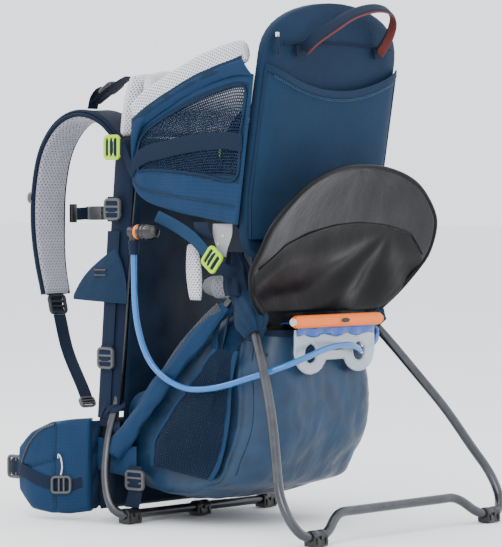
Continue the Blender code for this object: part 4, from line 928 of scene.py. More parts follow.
def bag_sides():
    """Mesh pocket, tunnel over the stay, gusset and teal strip on each side of the bag."""
    low = Vector((0.139, upright_line(0.100) - 0.0145, 0.100))
    high = Vector((0.112, PIVOT_Y + 0.0145, PIVOT_Z - 0.020))
    stay = [low, low.lerp(high, 0.5) + X * 0.009, high]
    for label, side in SIDES:
        line = paced(stay)
        rows = []
        for j in range(70):
            t = -0.04 + 1.0 * j / 69
            spot = line(clamp(t)) + (line(0.05) - line(0)) * (20 * min(0, t))
            run = (line(clamp(t + 0.03)) - line(clamp(t - 0.03))).normalized()
            tall = X.cross(run).normalized()
            swell = 1 + 0.088 * math.sin(19 * t) + 0.25 * smooth((0.1 - t) / 0.1)
            swell -= 0.25 * smooth((t - 0.7) / 0.26)
            ring = []
            for turn in turns(28):
                ripple = 1 + 0.20 * wobble((math.cos(turn), math.sin(turn), t * 9), 1.3, side)
                ring.append(spot + X * (0.0078 * math.cos(turn) * ripple * swell)
                            + tall * (0.0128 * math.sin(turn) * ripple * swell))
            rows.append(mirror(ring, side))
        shape = Shape()
        shape.grid(rows, wrap=True, cap=True, flip=side < 0)
        shape.make("stay_tunnel_" + label, ripstop_blue, "frame", 80.0)

        hem = [(0.1185, 0.040, 0.296), (0.1200, 0.064, 0.277), (0.1215, 0.101, 0.2435),
               (0.1225, 0.1326, 0.207), (0.1230, 0.160, 0.172), (0.1230, 0.186, 0.138)]
        band = [(0.1190, 0.034, 0.289), (0.1270, 0.060, 0.252), (0.1310, 0.092, 0.214),
                (0.1330, 0.122, 0.181), (0.1340, 0.152, 0.148), (0.1350, 0.180, 0.118)]

        def puff(u, v, s=side):
            return X * 0.005 * math.sin(math.pi * v) * math.sin(math.pi * u) * s

        panel("gusset_" + label, ruled(mirror(band, side), mirror(hem, side), puff), (60, 16), 0.0016,
              ripstop_blue, "frame", edge=0.001, crumple=0.0024, grain=46, seed=side)
        raised = [p + X * side * 0.0022 for p in mirror(hem, side)]
        strap("gusset_hem_" + label, raised, lambda v: Vector((0, 0.62, 0.78)), 0.012, 0.0022, dark_spacer,
              "frame")
        rear = [(0.1215, 0.0090, 0.2380), (0.1220, 0.0190, 0.1960), (0.1225, 0.0240, 0.1400),
                (0.1225, 0.0380, 0.0880), (0.1220, 0.0540, 0.0640)]
        fore = [(0.1250, 0.0420, 0.2400), (0.1255, 0.0800, 0.1960), (0.1255, 0.1180, 0.1540),
                (0.1250, 0.1500, 0.1130), (0.1240, 0.1560, 0.0780)]

        def pocket_bow(u, v, s=side):
            full = 0.0105 * math.sin(math.pi * v) ** 0.7 * math.sin(math.pi * clamp(u)) ** 0.8
            return X * s * (0.0015 + full * (0.35 + 0.65 * smooth(u / 0.5)))

        pocket = panel("mesh_pocket_" + label, ruled(mirror(rear, side), mirror(fore, side), pocket_bow),
                       (60, 34), 0.0012, pocket_net, "frame", edge=0.001, crumple=0.0018, grain=34,
                       seed=side + 4)
        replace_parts(pocket, "side_pocket_" + label)
        for kind, spots, width in (("rear", rear, 0.009), ("fore", fore, 0.008)):
            lifted = [Vector(p) + X * 0.0018 for p in spots]
            strap(f"pocket_edge_{kind}_{label}", mirror(lifted, side), lambda v: Y, width, 0.0020,
                  ripstop_blue, "frame", crumple=0.0005)
        back = [(0.0895, -0.0020, 0.3000), (0.0895, 0.0020, 0.2660), (0.0985, 0.0060, 0.2300)]
        ahead = [(0.0895, 0.0580, 0.2960), (0.0900, 0.0680, 0.2600), (0.1010, 0.0640, 0.2240)]
        panel("bag_corner_" + label, ruled(mirror(back, side), mirror(ahead, side),
                                           lambda u, v, s=side: X * (-s * 0.004 * math.sin(math.pi * v))),
              (26, 24), 0.0014, ripstop_blue, "frame", edge=0.001, crumple=0.0030, grain=52, seed=side + 9)
        teal = [(0.1060, 0.0420, 0.3000), (0.1070, 0.0520, 0.2760), (0.1075, 0.0580, 0.2560),
                (0.1120, 0.0540, 0.2200)]
        strap("teal_strip_" + label, mirror([Vector(p) + X * 0.001 for p in teal], side), lambda v: Y,
              0.010, 0.0016, blue_tape, "frame")


# ---- child's seat ------------------------------------------------------------------------
def backrest_body():
    """The child's padded backrest and the seam across its head."""
    rows = []
    heights = [0.300 + 0.018 * k for k in range(18)] + [0.620]
    marks = [(z, None) for z in heights] + [(0, p) for p in (0.12, 0.25, 0.38, 0.5, 0.61, 0.71, 0.80, 0.87,
                                                             0.93, 0.97, 0.995)]
    for z, part in marks:
        if part is None:
            grow = smooth((z - 0.340) / 0.040)
            half = lerp(0.0835, 0.1385, grow)
            middle = backrest_rear(z) + 0.014
            thin = 0.0135
        else:
            z = 0.620 + 0.0785 * part
            half = max(0.1385 * (1 - part ** 2.6) ** 0.5, 0.012)
            middle = backrest_rear(0.620) + 0.014 - 0.010 * part
            thin = 0.0135 * (1 - 0.55 * part ** 4)
        ring = []
        for turn in turns(96):
            c, s = math.cos(turn), math.sin(turn)
            px = half * blunt(c, 0.32)
            py = thin * blunt(s, 0.55)
            bump = 0.0020 * wobble((px, py, z), 22.0, 1) + 0.0011 * wobble((px, py * 2, z * 2.2), 44.0, 6)
            if z > 0.622 and s < 0:
                pleat = math.sin(px * 190 + 3 * wobble((px, 0, z), 12, 4))
                bump += 0.0016 * pleat * smooth((0.662 - z) / 0.03)
            ring.append(Vector((px * (1 - 0.010 * abs(bump) * 100), middle + py * (1 + bump * 22), z)))
        rows.append(ring)
    shape = Shape()
    shape.grid(rows, wrap=True, cap=True)
    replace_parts(shape.make("backrest_body", deep_blue, "frame", 80.0), "child_backrest")
    seam = []
    for k in range(41):
        x = -0.112 + 0.224 * k / 40
        seam.append(Vector((x, backrest_rear(0.620) - 0.0048, 0.6405 + 0.004 * math.cos(x * 14))))
    rod("headrest_seam", seam, 0.0013, 8, navy_cloth, "frame", up=Y)


def rear_pocket():
    """The flat pocket on the backrest, with its hem, stitching and piping."""
    def hem(x):
        return 0.6150 - 0.034 * (1 - (x / 0.139) ** 2)

    def at(u, v):
        x = (2 * u - 1) * 0.1375
        z = lerp(0.386, hem(x), v)
        curve = 0.0015 - 0.010 * abs(2 * u - 1) ** 10
        return Vector((x, backrest_rear(z) - 0.0042 - curve - 0.0028 * math.sin(math.pi * u) * v, z))

    panel("rear_pocket", at, (70, 70), 0.0020, panel_blue, "frame", edge=0.001, crumple=0.0009, grain=14)
    line = [at(k / 28, 1.0) - Y * 0.0018 - Z * 0.004 for k in range(29)]
    strap("rear_pocket_hem", line, lambda v: Z, 0.010, 0.0022, deep_blue, "frame")
    shape = Shape()
    for drop in (0.0105, 0.0125):
        line = [at(k / 28, 1.0) - Y * 0.0024 - Z * drop for k in range(1, 28)]
        stitches(shape, line, -Y, radius=0.00045)
    shape.make("rear_pocket_stitching", thread_pale, "frame")
    for label, side in SIDES:
        rod("rear_pocket_piping_" + label, [at(0.5 + side * 0.494, v / 20) - Y * 0.0010 for v in range(21)],
            0.0015, 8, deep_blue, "frame", up=Y)


def handle():
    """The two-layer grab handle, its tacks and the tab beside the pocket."""
    near = backrest_rear(0.640) - 0.0075
    route = [(-0.080, near, 0.634), (-0.074, near - 0.014, 0.648), (-0.048, near - 0.025, 0.666),
             (-0.010, near - 0.026, 0.683), (0.036, near - 0.026, 0.693), (0.068, near - 0.025, 0.691),
             (0.086, near - 0.020, 0.678), (0.089, near - 0.011, 0.658), (0.082, near, 0.636)]
    across = Vector((0.0, 0.75, 0.65)).normalized()
    outer = strap("handle_outer", route, across, 0.0155, 0.0030, navy_tape, "frame")
    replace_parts(outer, "grab_handle")
    inner = []
    for x, y, z in route:
        inner.append(Vector((x * 0.975, y - 0.0016, z - 0.0030)))
    strap("handle_grip", inner, Vector((0.0, 0.80, 0.60)), 0.0135, 0.0024, pink_tape, "frame")
    shape = Shape()
    for x, z in ((-0.081, 0.632), (0.083, 0.634)):
        shape.block(Vector((x, near + 0.0035, z)), (X, Z, -Y), (0.018, 0.014, 0.0030))
    shape.make("handle_tacks", navy_tape, "frame")
    loop = [(-0.121, near + 0.010, 0.655), (-0.127, near + 0.004, 0.648), (-0.128, near + 0.002, 0.636),
            (-0.124, near + 0.006, 0.626)]
    strap("pocket_tab", loop, Vector((0.55, 0.6, 0)), 0.010, 0.0016, navy_tape, "frame")
    shape = Shape()
    shape.block(Vector((-0.1275, near + 0.0042, 0.652)), (X, Y, Z), (0.005, 0.003, 0.006))
    shape.make("pocket_tab_bead", white_moulded, "frame")


WING_LOW = [(0.1725, 0.4700), (0.1690, 0.4520), (0.1460, 0.4345), (0.0900, 0.4205), (0.0450, 0.4135),
            (-0.0140, 0.4045)]
WING_HIGH = [(0.1725, 0.4800), (0.1705, 0.4960), (0.1600, 0.5310), (0.1340, 0.5490), (0.0640, 0.5820),
             (-0.0060, 0.6020), (-0.0410, 0.6010)]


def wings():
    """Each side wing: cloth with a mesh window, band, lock, padded rim and top."""
    for label, side in SIDES:
        body = "side_wing" if label == "left" else "frame"
        x = 0.1450

        def bow(u, v, s=side):
            return X * s * (0.0026 * math.sin(math.pi * u) * math.sin(math.pi * v))

        surface = ruled([(side * x, y, z) for y, z in WING_LOW], [(side * x, y, z) for y, z in WING_HIGH],
                        bow)

        def window(u, v):
            low = lerp(0.44, 0.31, smooth((u - 0.15) / 0.7))
            inside = 0.17 < u < 0.955 and low < v < 0.90
            edge = 0.145 < u < 0.985 and low - 0.035 < v < 0.95
            return 1 if inside else 2 if edge else 0

        wing = panel("wing_cloth_" + label, surface, (110, 70), 0.0030, [ripstop_blue, navy_net, deep_blue],
                     body, edge=0.002, crumple=0.0020, grain=20, seed=side, pick=window)
        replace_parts(wing, "wing_" + label)
        out = X * side
        shape = Shape()
        ring = [(0.17, 0.42), (0.30, 0.40), (0.50, 0.36), (0.70, 0.32), (0.955, 0.30), (0.960, 0.60),
                (0.955, 0.91), (0.70, 0.905), (0.40, 0.90), (0.24, 0.86), (0.18, 0.72), (0.17, 0.42)]
        edge = [surface(u, v) + out * 0.0030 for u, v in ring]
        shape.tube(smooth_route(edge, 0.006), 0.0014, 8, up=X)
        shape.make("window_binding_" + label, deep_blue, body)
        band = [surface(u, lerp(0.62, 0.54, u)) + out * 0.0034 for u in [0.02 + 0.12 * k for k in range(9)]]
        band = [Vector((side * 0.1495, 0.1870, 0.5080))] + band
        strap("wing_band_" + label, band, lambda v: Z, 0.023, 0.0018, navy_tape, body, crumple=0.0006)
        lower = [surface(u, lerp(0.18, 0.12, u)) + out * 0.0026 for u in [0.03 + 0.117 * k for k in range(9)]]
        shape = Shape()
        stitches(shape, lower, out)
        stitches(shape, [p - Z * 0.003 for p in lower], out)
        shape.make("wing_stitching_" + label, thread_dark, body)
        centre = Vector((side * 0.1535, 0.2035, 0.5080))
        lock("front_lock_" + label, centre, Y, Z * -side, lime_moulded, body, (0.034, 0.029), 0.0044,
             ("side_buckle_upper_" + label,))
        threaded("front_lock_webbing_" + label, centre, Y, Z * -side, navy_tape, body, 0.017, 0.0225)
        rim = [(0.1445, 0.168, 0.552), (0.145, 0.134, 0.573), (0.145, 0.064, 0.6055), (0.145, 0.010, 0.6225),
               (0.144, backrest_rear(0.630) + 0.034, 0.632)]
        rows = []
        line = paced(mirror(rim, side))
        for j in range(60):
            t = j / 59
            run = (line(min(1, t + 0.02)) - line(max(0, t - 0.02))).normalized()
            wide = (X - run * run.x).normalized()
            tall = wide.cross(run)
            end = (1 - abs(2 * t - 1) ** 14) ** 0.5 * 0.35 + 0.65
            ring = []
            for turn in turns(36):
                c, s = math.cos(turn), math.sin(turn)
                bump = 1 + 0.06 * wobble((c, s, t * 6), 1.2, side + 3)
                ring.append(line(t) + wide * (0.0098 * blunt(c, 0.8) * end * bump)
                            + tall * (0.0168 * blunt(s, 0.8) * end * bump))
            rows.append(ring)
        shape = Shape()
        shape.grid(rows, wrap=True, cap=True)
        pad = shape.make("rim_mesh_" + label, white_spacer, body, 80.0)
        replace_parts(pad, "rim_pad_" + label)
        trim = [p + Vector((side * 0.0088, 0, -0.0125)) for p in smooth_route(mirror(rim, side), 0.010)]
        skirt = [Vector(p) + Vector((side * 0.0086, 0, -0.0110)) for p in mirror(rim, side)]
        upper = [(side * (x + 0.0012), y, z - 0.003) for y, z in WING_HIGH]

        def crown(u, v, s=side):
            return X * s * 0.002 * math.sin(math.pi * v)

        panel("wing_top_" + label, ruled(upper, skirt, crown), (80, 14), 0.0030, ripstop_blue, body,
              edge=0.0015, crumple=0.0014, grain=30, seed=side + 2)
        strap("rim_trim_" + label, trim, lambda v: Z, 0.012, 0.0020, deep_blue, body)


def tension_straps():
    """Under each wing: the sagging strap, lime adjuster, webbing loop and pale plate."""
    for label, side in SIDES:
        x = 0.1518
        route = [(x, 0.1240, 0.4160), (x, 0.0900, 0.4030), (x, 0.0590, 0.3870), (x, 0.0360, 0.3680)]
        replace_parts(strap("tension_strap_" + label, mirror(route, side), lambda v: Vector((0, -0.53, 0.85)),
                          0.0165, 0.0018, blue_tape, "frame", crumple=0.0006), "wing_strap_" + label)
        run = (Vector(route[-1]) - Vector(route[-2])).normalized()
        run = Vector((0, run.y, run.z))
        centre = Vector((side * x, 0.0360, 0.3680)) + run * 0.0143
        across = X.cross(run) * -side
        lock("adjuster_" + label, centre, run, across, lime_moulded, "frame", (0.031, 0.029), 0.0046,
             ("side_buckle_lower_" + label,))
        threaded("adjuster_webbing_" + label, centre, run, across, navy_tape, "frame", 0.015, 0.020)
        tail = [centre + run * 0.013, centre + run * 0.022 - X * side * 0.006,
                centre + run * 0.030 - X * side * 0.016]
        strap("adjuster_tail_" + label, tail, across, 0.018, 0.0018, navy_tape, "frame")
        loop = [(side * 0.1440, 0.0520, 0.4080), (side * 0.1465, 0.0480, 0.3990),
                (side * 0.1455, 0.0440, 0.3890), (side * 0.1430, 0.0420, 0.3850)]
        strap("wing_loop_" + label, loop, Y, 0.026, 0.0020, navy_tape, "frame")

        def plate(u, v, s=side):
            z = lerp(0.3625, 0.4060, v)
            wide = lerp(0.014, 0.034, smooth(v * 1.3))
            return Vector((s * (0.1400 - 0.001 * v), 0.018 + (u - 0.5) * wide, z))

        panel("wing_plate_" + label, plate, (12, 14), 0.0020, plate_grey, "frame", edge=0.001)
        shape = Shape()
        for y, z in ((0.024, 0.379), (0.015, 0.390)):
            shape.tube([Vector((side * 0.1405, y, z)), Vector((side * 0.1422, y, z))], 0.0016, 10, up=Z)
        shape.make("plate_pins_" + label, white_moulded, "frame")

        def thigh(u, v, s=side):
            z = lerp(0.3035, 0.3780, v)
            wide = 0.020 * math.sin(math.pi * (0.18 + 0.70 * v)) ** 0.6
            return Vector((s * 0.1180, 0.090 + (u - 0.5) * wide * 1.3 - 0.006 * (1 - v), z))

        panel("thigh_pad_" + label, thigh, (14, 30), 0.0090, white_spacer, "frame", edge=0.006,
                        crumple=0.0016, grain=60)


def child_seat():
    """The seat's saddle, the chin pad and the child's harness."""
    def saddle(u, v):
        y = lerp(0.024, 0.153, v)
        half = 0.083 if v < 0.45 else lerp(0.083, 0.028, smooth((v - 0.45) / 0.42))
        half *= 1 - 0.14 * (1 - smooth(v / 0.15))
        return Vector(((2 * u - 1) * half, y, 0.3190))

    cushion = panel("seat_saddle", saddle, (40, 44), 0.0280, grey_spacer, "seat", edge=0.013, crumple=0.0010)
    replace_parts(cushion, "seat_cushion")

    def chin(u, v):
        x = (2 * u - 1) * 0.128
        turn = math.tau * v
        bow = 0.012 * (1 - (x / 0.129) ** 2)
        end = 0.72 + 0.28 * (1 - abs(2 * u - 1) ** 8)
        soft = 1 + 0.05 * wobble((x * 30, v * 5, 0), 1.0, 2)
        return Vector((x, 0.158 + bow + 0.0155 * end * soft * math.cos(turn),
                       0.586 + 0.0265 * end * soft * math.sin(turn)))

    shape = Shape()
    shape.grid([[chin(u / 40, v / 30) for v in range(30)] for u in range(41)], wrap=True, cap=True)
    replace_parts(shape.make("chin_fleece_pad", chin_fleece, "frame", 80.0), "chin_pad")
    for label, side in SIDES:
        route = [(side * 0.048, 0.008, 0.565), (side * 0.055, 0.040, 0.560), (side * 0.066, 0.066, 0.520),
                 (side * 0.066, 0.072, 0.460), (side * 0.050, 0.060, 0.405), (side * 0.030, 0.040, 0.380)]
        belt = strap("child_harness_" + label, route, X, 0.030, 0.0060, deep_blue, None, crumple=0.0010)
        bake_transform(belt)
        buckle = Vector((side * 0.064, 0.0770, 0.500))
        lock("child_harness_lock_" + label, buckle, Z, X, lime_moulded, "frame", (0.026, 0.022))
        side_run = [(side * 0.120, 0.006, 0.470), (side * 0.110, 0.040, 0.474), (side * 0.078, 0.066, 0.480)]
        strap("child_side_strap_" + label, side_run, Z, 0.018, 0.0020, navy_tape, "frame")
    shape = Shape()
    shape.block(Vector((0.0, 0.072, 0.470)), (X, Z, Y), (0.030, 0.034, 0.010))
    shape.make("child_harness_buckle", dark_moulded, "frame")
    for label, side in SIDES:
        strap("child_chest_strap_" + label,
              [(side * 0.060, 0.073, 0.470), (side * 0.035, 0.074, 0.471), (side * 0.012, 0.073, 0.470)], Z,
              0.016, 0.0020, navy_tape, "frame")


# ---- lid and reservoir ---------------------------------------------------------------------
def lid():
    """The open rear lid: black cloth below a silvery arc, with piping, seam and zip."""
    edge = [(0.124, -0.0370, 0.288), (0.154, -0.0465, 0.312), (0.176, -0.0630, 0.343),
            (0.179, -0.0800, 0.367), (0.173, -0.0955, 0.401), (0.155, -0.1040, 0.425),
            (0.122, -0.1100, 0.452), (0.088, -0.1118, 0.468), (0.045, -0.1100, 0.4785),
            (0.004, -0.1085, 0.4815)]
    border = paced(edge)

    def at(u, v):
        spot = border(v)
        across = 2 * u - 1
        ahead = border(min(1, v + 0.02)) - border(max(0, v - 0.02))
        slope = Vector((0, ahead.y, ahead.z)).normalized() if ahead.yz.length > 1e-4 else Z
        outward = Vector((0, -slope.z, slope.y))
        depth = 0.014 * math.sin(math.pi * min(1, v * 1.02)) * (1 - across * across)
        return Vector((across * spot.x, spot.y, spot.z)) - outward * depth

    def seam_height(x):
        return 0.4060 - 1.25 * (x - 0.02) ** 2 - 0.45 * max(0.0, abs(x) - 0.13)

    def film(u, v):
        spot = at(u, v)
        return 1 if spot.z > seam_height(spot.x) else 0

    def folds(u, v):
        spot = at(u, v)
        if spot.z > seam_height(spot.x):
            return 0.0009 * wobble(spot, 30.0, 2)
        dx, dz = spot.x - 0.085, spot.z - 0.400
        turn = math.atan2(dz, dx)
        far = math.hypot(dx, dz)
        depth = 0.0066 * smooth(far / 0.10) * smooth((seam_height(spot.x) - spot.z) / 0.03)
        wave = math.sin(7.0 * turn + 1.2 * wobble(spot, 9.0, 5)) * 0.6 + 0.6 * wobble(spot, 16.0, 1)
        return -depth * wave * min(1.0, v * 8)

    cover = panel("lid_cloth", at, (96, 96), 0.0042, [black_film, silver_film], "lid", edge=0.002, pick=film,
                  relief=folds)
    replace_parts(cover, "rear_lid")
    rim = [at(0.0, v / 40) for v in range(40)] + [at(1.0, v / 40) for v in range(39, -1, -1)]
    rod("lid_piping", rim, 0.0034, 12, black_film, "lid", up=Y)
    arc = []
    for k in range(81):
        u = 0.035 + 0.93 * k / 80
        low, high = 0.12, 0.98
        for _ in range(18):
            middle = (low + high) / 2
            spot = at(u, middle)
            low, high = (middle, high) if spot.z < seam_height(spot.x) else (low, middle)
        arc.append(at(u, low) - Y * 0.0032)
    rod("lid_inner_seam", arc, 0.0012, 8, black_film, "lid", up=Y)
    zipper = [p + Vector((0, 0.0026, 0)) for p in rim[2:-2]]
    shape = Shape()
    for a, b in zip(zipper, zipper[1:]):
        for part in (0.0, 0.5):
            spot = a.lerp(b, part)
            run = (b - a).normalized()
            shape.sweep([spot - run * 0.0009, spot + run * 0.0009],
                        [(0.0012, -0.0008), (0.0012, 0.0008), (-0.0012, 0.0008), (-0.0012, -0.0008)], up=Y)
    shape.make("lid_zip", dark_moulded, "lid")


def reservoir():
    """The drinking bag's orange slide closure, blue film and clear grip plate."""
    y, z, half = -0.064, 0.277, 0.0913
    shape = Shape()
    rows = []
    for k in range(45):
        t = k / 44
        x = lerp(-half, half, t)
        end = (1 - abs(2 * t - 1) ** 26) ** 0.5 * 0.30 + 0.70
        ring = []
        for n in range(28):
            turn = math.tau * n / 28
            c, s = math.cos(turn), math.sin(turn)
            ring.append(Vector((x, y + 0.0066 * blunt(c, 0.6) * end,
                                z + 0.0086 * blunt(s, 0.7) * end)))
        rows.append(ring)
    shape.grid(rows, wrap=True, cap=True)
    bar = shape.make("slider_bar", orange_moulded, "slider", 60.0)
    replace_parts(bar, "reservoir_slider")
    ring = [Vector((0.008 + 0.0105 * math.cos(t), y - 0.0068, z + 0.0042 * math.sin(t)))
            for t in turns(28)]
    rod("slider_thumb_ring", ring, 0.0011, 8, orange_moulded, "slider", closed=True, up=Y)
    # a flat dark disc inside the thumb ring: painted shade standing in for the ring's hollow
    shape = Shape()
    hollow_shade_disc = [[Vector((0.008 + 0.0098 * f * math.cos(t), y - 0.0069 + 0.0001 * f,
                       z + 0.0037 * f * math.sin(t))) for t in turns(28)] for f in (1.0, 0.5, 0.05)]
    shape.grid(hollow_shade_disc, wrap=True, flip=True)
    shape.make("slider_thumb_hollow", dark_moulded, "slider")
    shape = Shape()
    for lift in (-0.0050, 0.0050):
        shape.tube([Vector((-half + 0.006, y - 0.0062, z + lift)),
                    Vector((half - 0.006, y - 0.0062, z + lift))], 0.0008, 8, up=Y)
    shape.make("slider_ribs", orange_moulded, "slider")
    for label, side in SIDES:
        rod("slider_end_" + label, [Vector((side * (half + 0.0002), y, z)),
                                    Vector((side * (half + 0.0022), y, z))], 0.0052, 16,
            white_moulded if side < 0 else orange_moulded, "slider", up=Z)

    route = [(0, bag_rear(0.100) + 0.017, 0.100), (0, bag_rear(0.150) + 0.017, 0.150),
             (0, bag_rear(0.200) + 0.017, 0.200), (0, bag_rear(0.235) + 0.017, 0.235),
             (0, -0.0235, 0.259), (0, -0.0280, 0.2715), (0, -0.0420, 0.2745), (0, -0.0550, 0.2735)]
    line = paced(route)

    def film(u, v):
        spot = line(v)
        half_width = lerp(0.079, 0.0815, smooth((v - 0.75) / 0.25))
        return spot + X * ((2 * u - 1) * half_width)

    sheet = panel("bladder_film", film, (50, 70), 0.0016, film_blue, "frame", edge=0.001, crumple=0.0011,
                  grain=30)
    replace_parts(sheet, "reservoir_film")
    top, hole_z, bottom, plate_y = 0.2665, 0.2340, 0.2075, y + 0.005
    shape = Shape()
    skirt = [[Vector((lerp(-0.081, 0.081, k / 40), plate_y - 0.0026 - 0.0016 * math.sin(k * 0.9) * t,
                      lerp(0.2700, 0.2575 + 0.0022 * math.sin(k * 0.55), t))) for k in range(41)]
             for t in (0, 0.25, 0.5, 0.75, 1.0)]
    shape.grid(skirt)
    skirt_piece = shape.make("bladder_skirt", film_blue, "frame")
    wall = skirt_piece.modifiers.new("film", "SOLIDIFY")
    wall.thickness = 0.0008

    def low_edge(x):
        off = abs(abs(x) - 0.051)
        lobe = hole_z - (hole_z - bottom) * math.sqrt(max(0.0, 1 - (off / 0.032) ** 2))
        return min(lobe, 0.2255) if abs(x) < 0.060 else lobe

    shape = Shape()
    columns = 150
    spots = [lerp(-0.083, 0.083, k / columns) for k in range(columns + 1)]
    for x0, x1 in zip(spots, spots[1:]):
        middle = (x0 + x1) / 2
        gap = 0.0136 ** 2 - (abs(middle) - 0.051) ** 2
        slot = abs(middle) < 0.0185
        spans = [(low_edge(middle), top)]
        if gap > 0:
            reach = math.sqrt(gap)
            spans = [(low_edge(middle), hole_z - reach), (hole_z + reach, top)]
        elif slot:
            spans = [(low_edge(middle), 0.2365), (0.2455, top)]
        for low, high in spans:
            if high - low < 0.0006:
                continue
            lows = [low if low > hole_z else low_edge(x) for x in (x0, x1)]
            box = [Vector((x0, plate_y, lows[0])), Vector((x1, plate_y, lows[1])),
                   Vector((x1, plate_y, high)), Vector((x0, plate_y, high))]
            shape.grid([[p - Y * 0.0013 for p in box], [p + Y * 0.0013 for p in box]], wrap=True, cap=True)
    plate = shape.make("grip_plate", grip_clear, "frame", 30.0)
    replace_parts(plate, "reservoir_grip")
    for label, side in SIDES:
        ring = [Vector((side * 0.051 + 0.0142 * math.cos(t), plate_y, hole_z + 0.0142 * math.sin(t)))
                for t in turns(40)]
        rod("grip_ring_" + label, ring, 0.0021, 10, grip_clear, "frame", closed=True, up=Y)
    edge = [Vector((x, plate_y, low_edge(x) + 0.0008)) for x in spots[::3]]
    edge = [Vector((-0.0825, plate_y, top))] + edge + [Vector((0.0825, plate_y, top))]
    shape = Shape()
    shape.tube(edge, 0.0018, 10, up=Y)
    ring = [Vector((0.019 * blunt(math.cos(t), 0.4), plate_y, 0.241
                    + 0.0048 * blunt(math.sin(t), 0.7)))
            for t in turns(40)]
    shape.tube(ring, 0.0011, 8, closed=True, up=Y)
    shape.make("grip_bead", grip_clear, "frame")


def hose_and_valve():
    """The drinking hose with its sleeve, elbow, orange ring and bite valve."""
    side, hole = PACK_HALF, 0.051
    points = [(side - 0.0280, -0.0380, 0.2690), (side - 0.0270, -0.0480, 0.2600),
              (side - 0.0340, -0.0520, 0.2470), (side - 0.0500, -0.0508, 0.2370),
              (side - 0.0655, -0.0522, 0.2335), (hole, -0.0594, 0.2340), (hole - 0.0125, -0.0692, 0.2375),
              (0.0110, -0.0775, 0.2440), (-0.0200, -0.0790, 0.2440), (-0.0500, -0.0790, 0.2395),
              (-0.0820, -0.0775, 0.2310), (-0.1090, -0.0685, 0.2220), (-0.1270, -0.0480, 0.2120),
              (-0.1345, -0.0200, 0.2030), (-0.1385, 0.0100, 0.1940), (-0.1410, 0.0400, 0.1880),
              (-0.1430, 0.0700, 0.1860), (-0.1450, 0.0950, 0.1910), (-0.1480, 0.1170, 0.2020),
              (-0.1520, 0.1340, 0.2190), (-0.1560, 0.1450, 0.2420), (-0.1600, 0.1510, 0.2700),
              (-0.1630, 0.1530, 0.3000), (-0.1650, 0.1525, 0.3300), (-0.1660, 0.1520, 0.3640)]
    route = smooth_route(points, 0.005)
    pipe = rod("hose", route, 0.0042, 16, hose_blue, "frame", 80.0, up=Vector((0.35, 0.25, 0.9)))
    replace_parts(pipe, "drinking_hose")
    rod("hose_bore", route, 0.0024, 12, film_blue, "frame", 80.0, up=Vector((0.35, 0.25, 0.9)))
    x, y, z = -0.1660, 0.1520, 0.3945
    shape = Shape()
    rows = []
    for step in range(13):
        t = step / 12
        reach = 0.0064 + 0.0016 * t + 0.0005 * math.sin(t * 17)
        rows.append([Vector((x + reach * math.cos(a), y + reach * math.sin(a) * 0.9, 0.3640 + 0.0190 * t))
                     for a in turns(24)])
    shape.grid(rows, wrap=True, cap=True)
    cuff = shape.make("valve_sleeve", navy_tape, "frame", 60.0)
    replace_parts(cuff, "valve_elbow")
    shape = Shape()
    shape.tube([Vector((x, y, 0.3820)), Vector((x, y, 0.4005))], 0.0060, 18, up=Y)
    shape.tube([Vector((x, y + 0.0068, z)), Vector((x, y - 0.0060, z))], 0.0072, 20, up=Z)
    shape.make("valve_elbow_body", dark_moulded, "frame", 45.0)
    rod("valve_ring", [Vector((x, y - 0.0064, z)), Vector((x, y - 0.0105, z))], 0.0098, 28, orange_moulded,
        "valve", 45.0, up=Z)
    profile = [(0.0108, 0.0094), (0.0125, 0.0105), (0.0150, 0.0105), (0.0160, 0.0090), (0.0176, 0.0090),
               (0.0186, 0.0104), (0.0214, 0.0104), (0.0224, 0.0092), (0.0240, 0.0092), (0.0250, 0.0103),
               (0.0300, 0.0104), (0.0330, 0.0098), (0.0356, 0.0098), (0.0385, 0.0086), (0.0410, 0.0066),
               (0.0425, 0.0040)]
    rows = []
    for along, reach in profile:
        rows.append([Vector((x + (reach + 0.0003 * math.sin(a * 14)) * math.cos(a), y - along,
                             z + (reach + 0.0003 * math.sin(a * 14)) * math.sin(a)))
                     for a in turns(56)])
    shape = Shape()
    shape.grid(rows, wrap=True, cap=True)
    valve = shape.make("valve_mouthpiece", valve_rubber, "valve", 45.0)
    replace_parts(valve, "bite_valve")


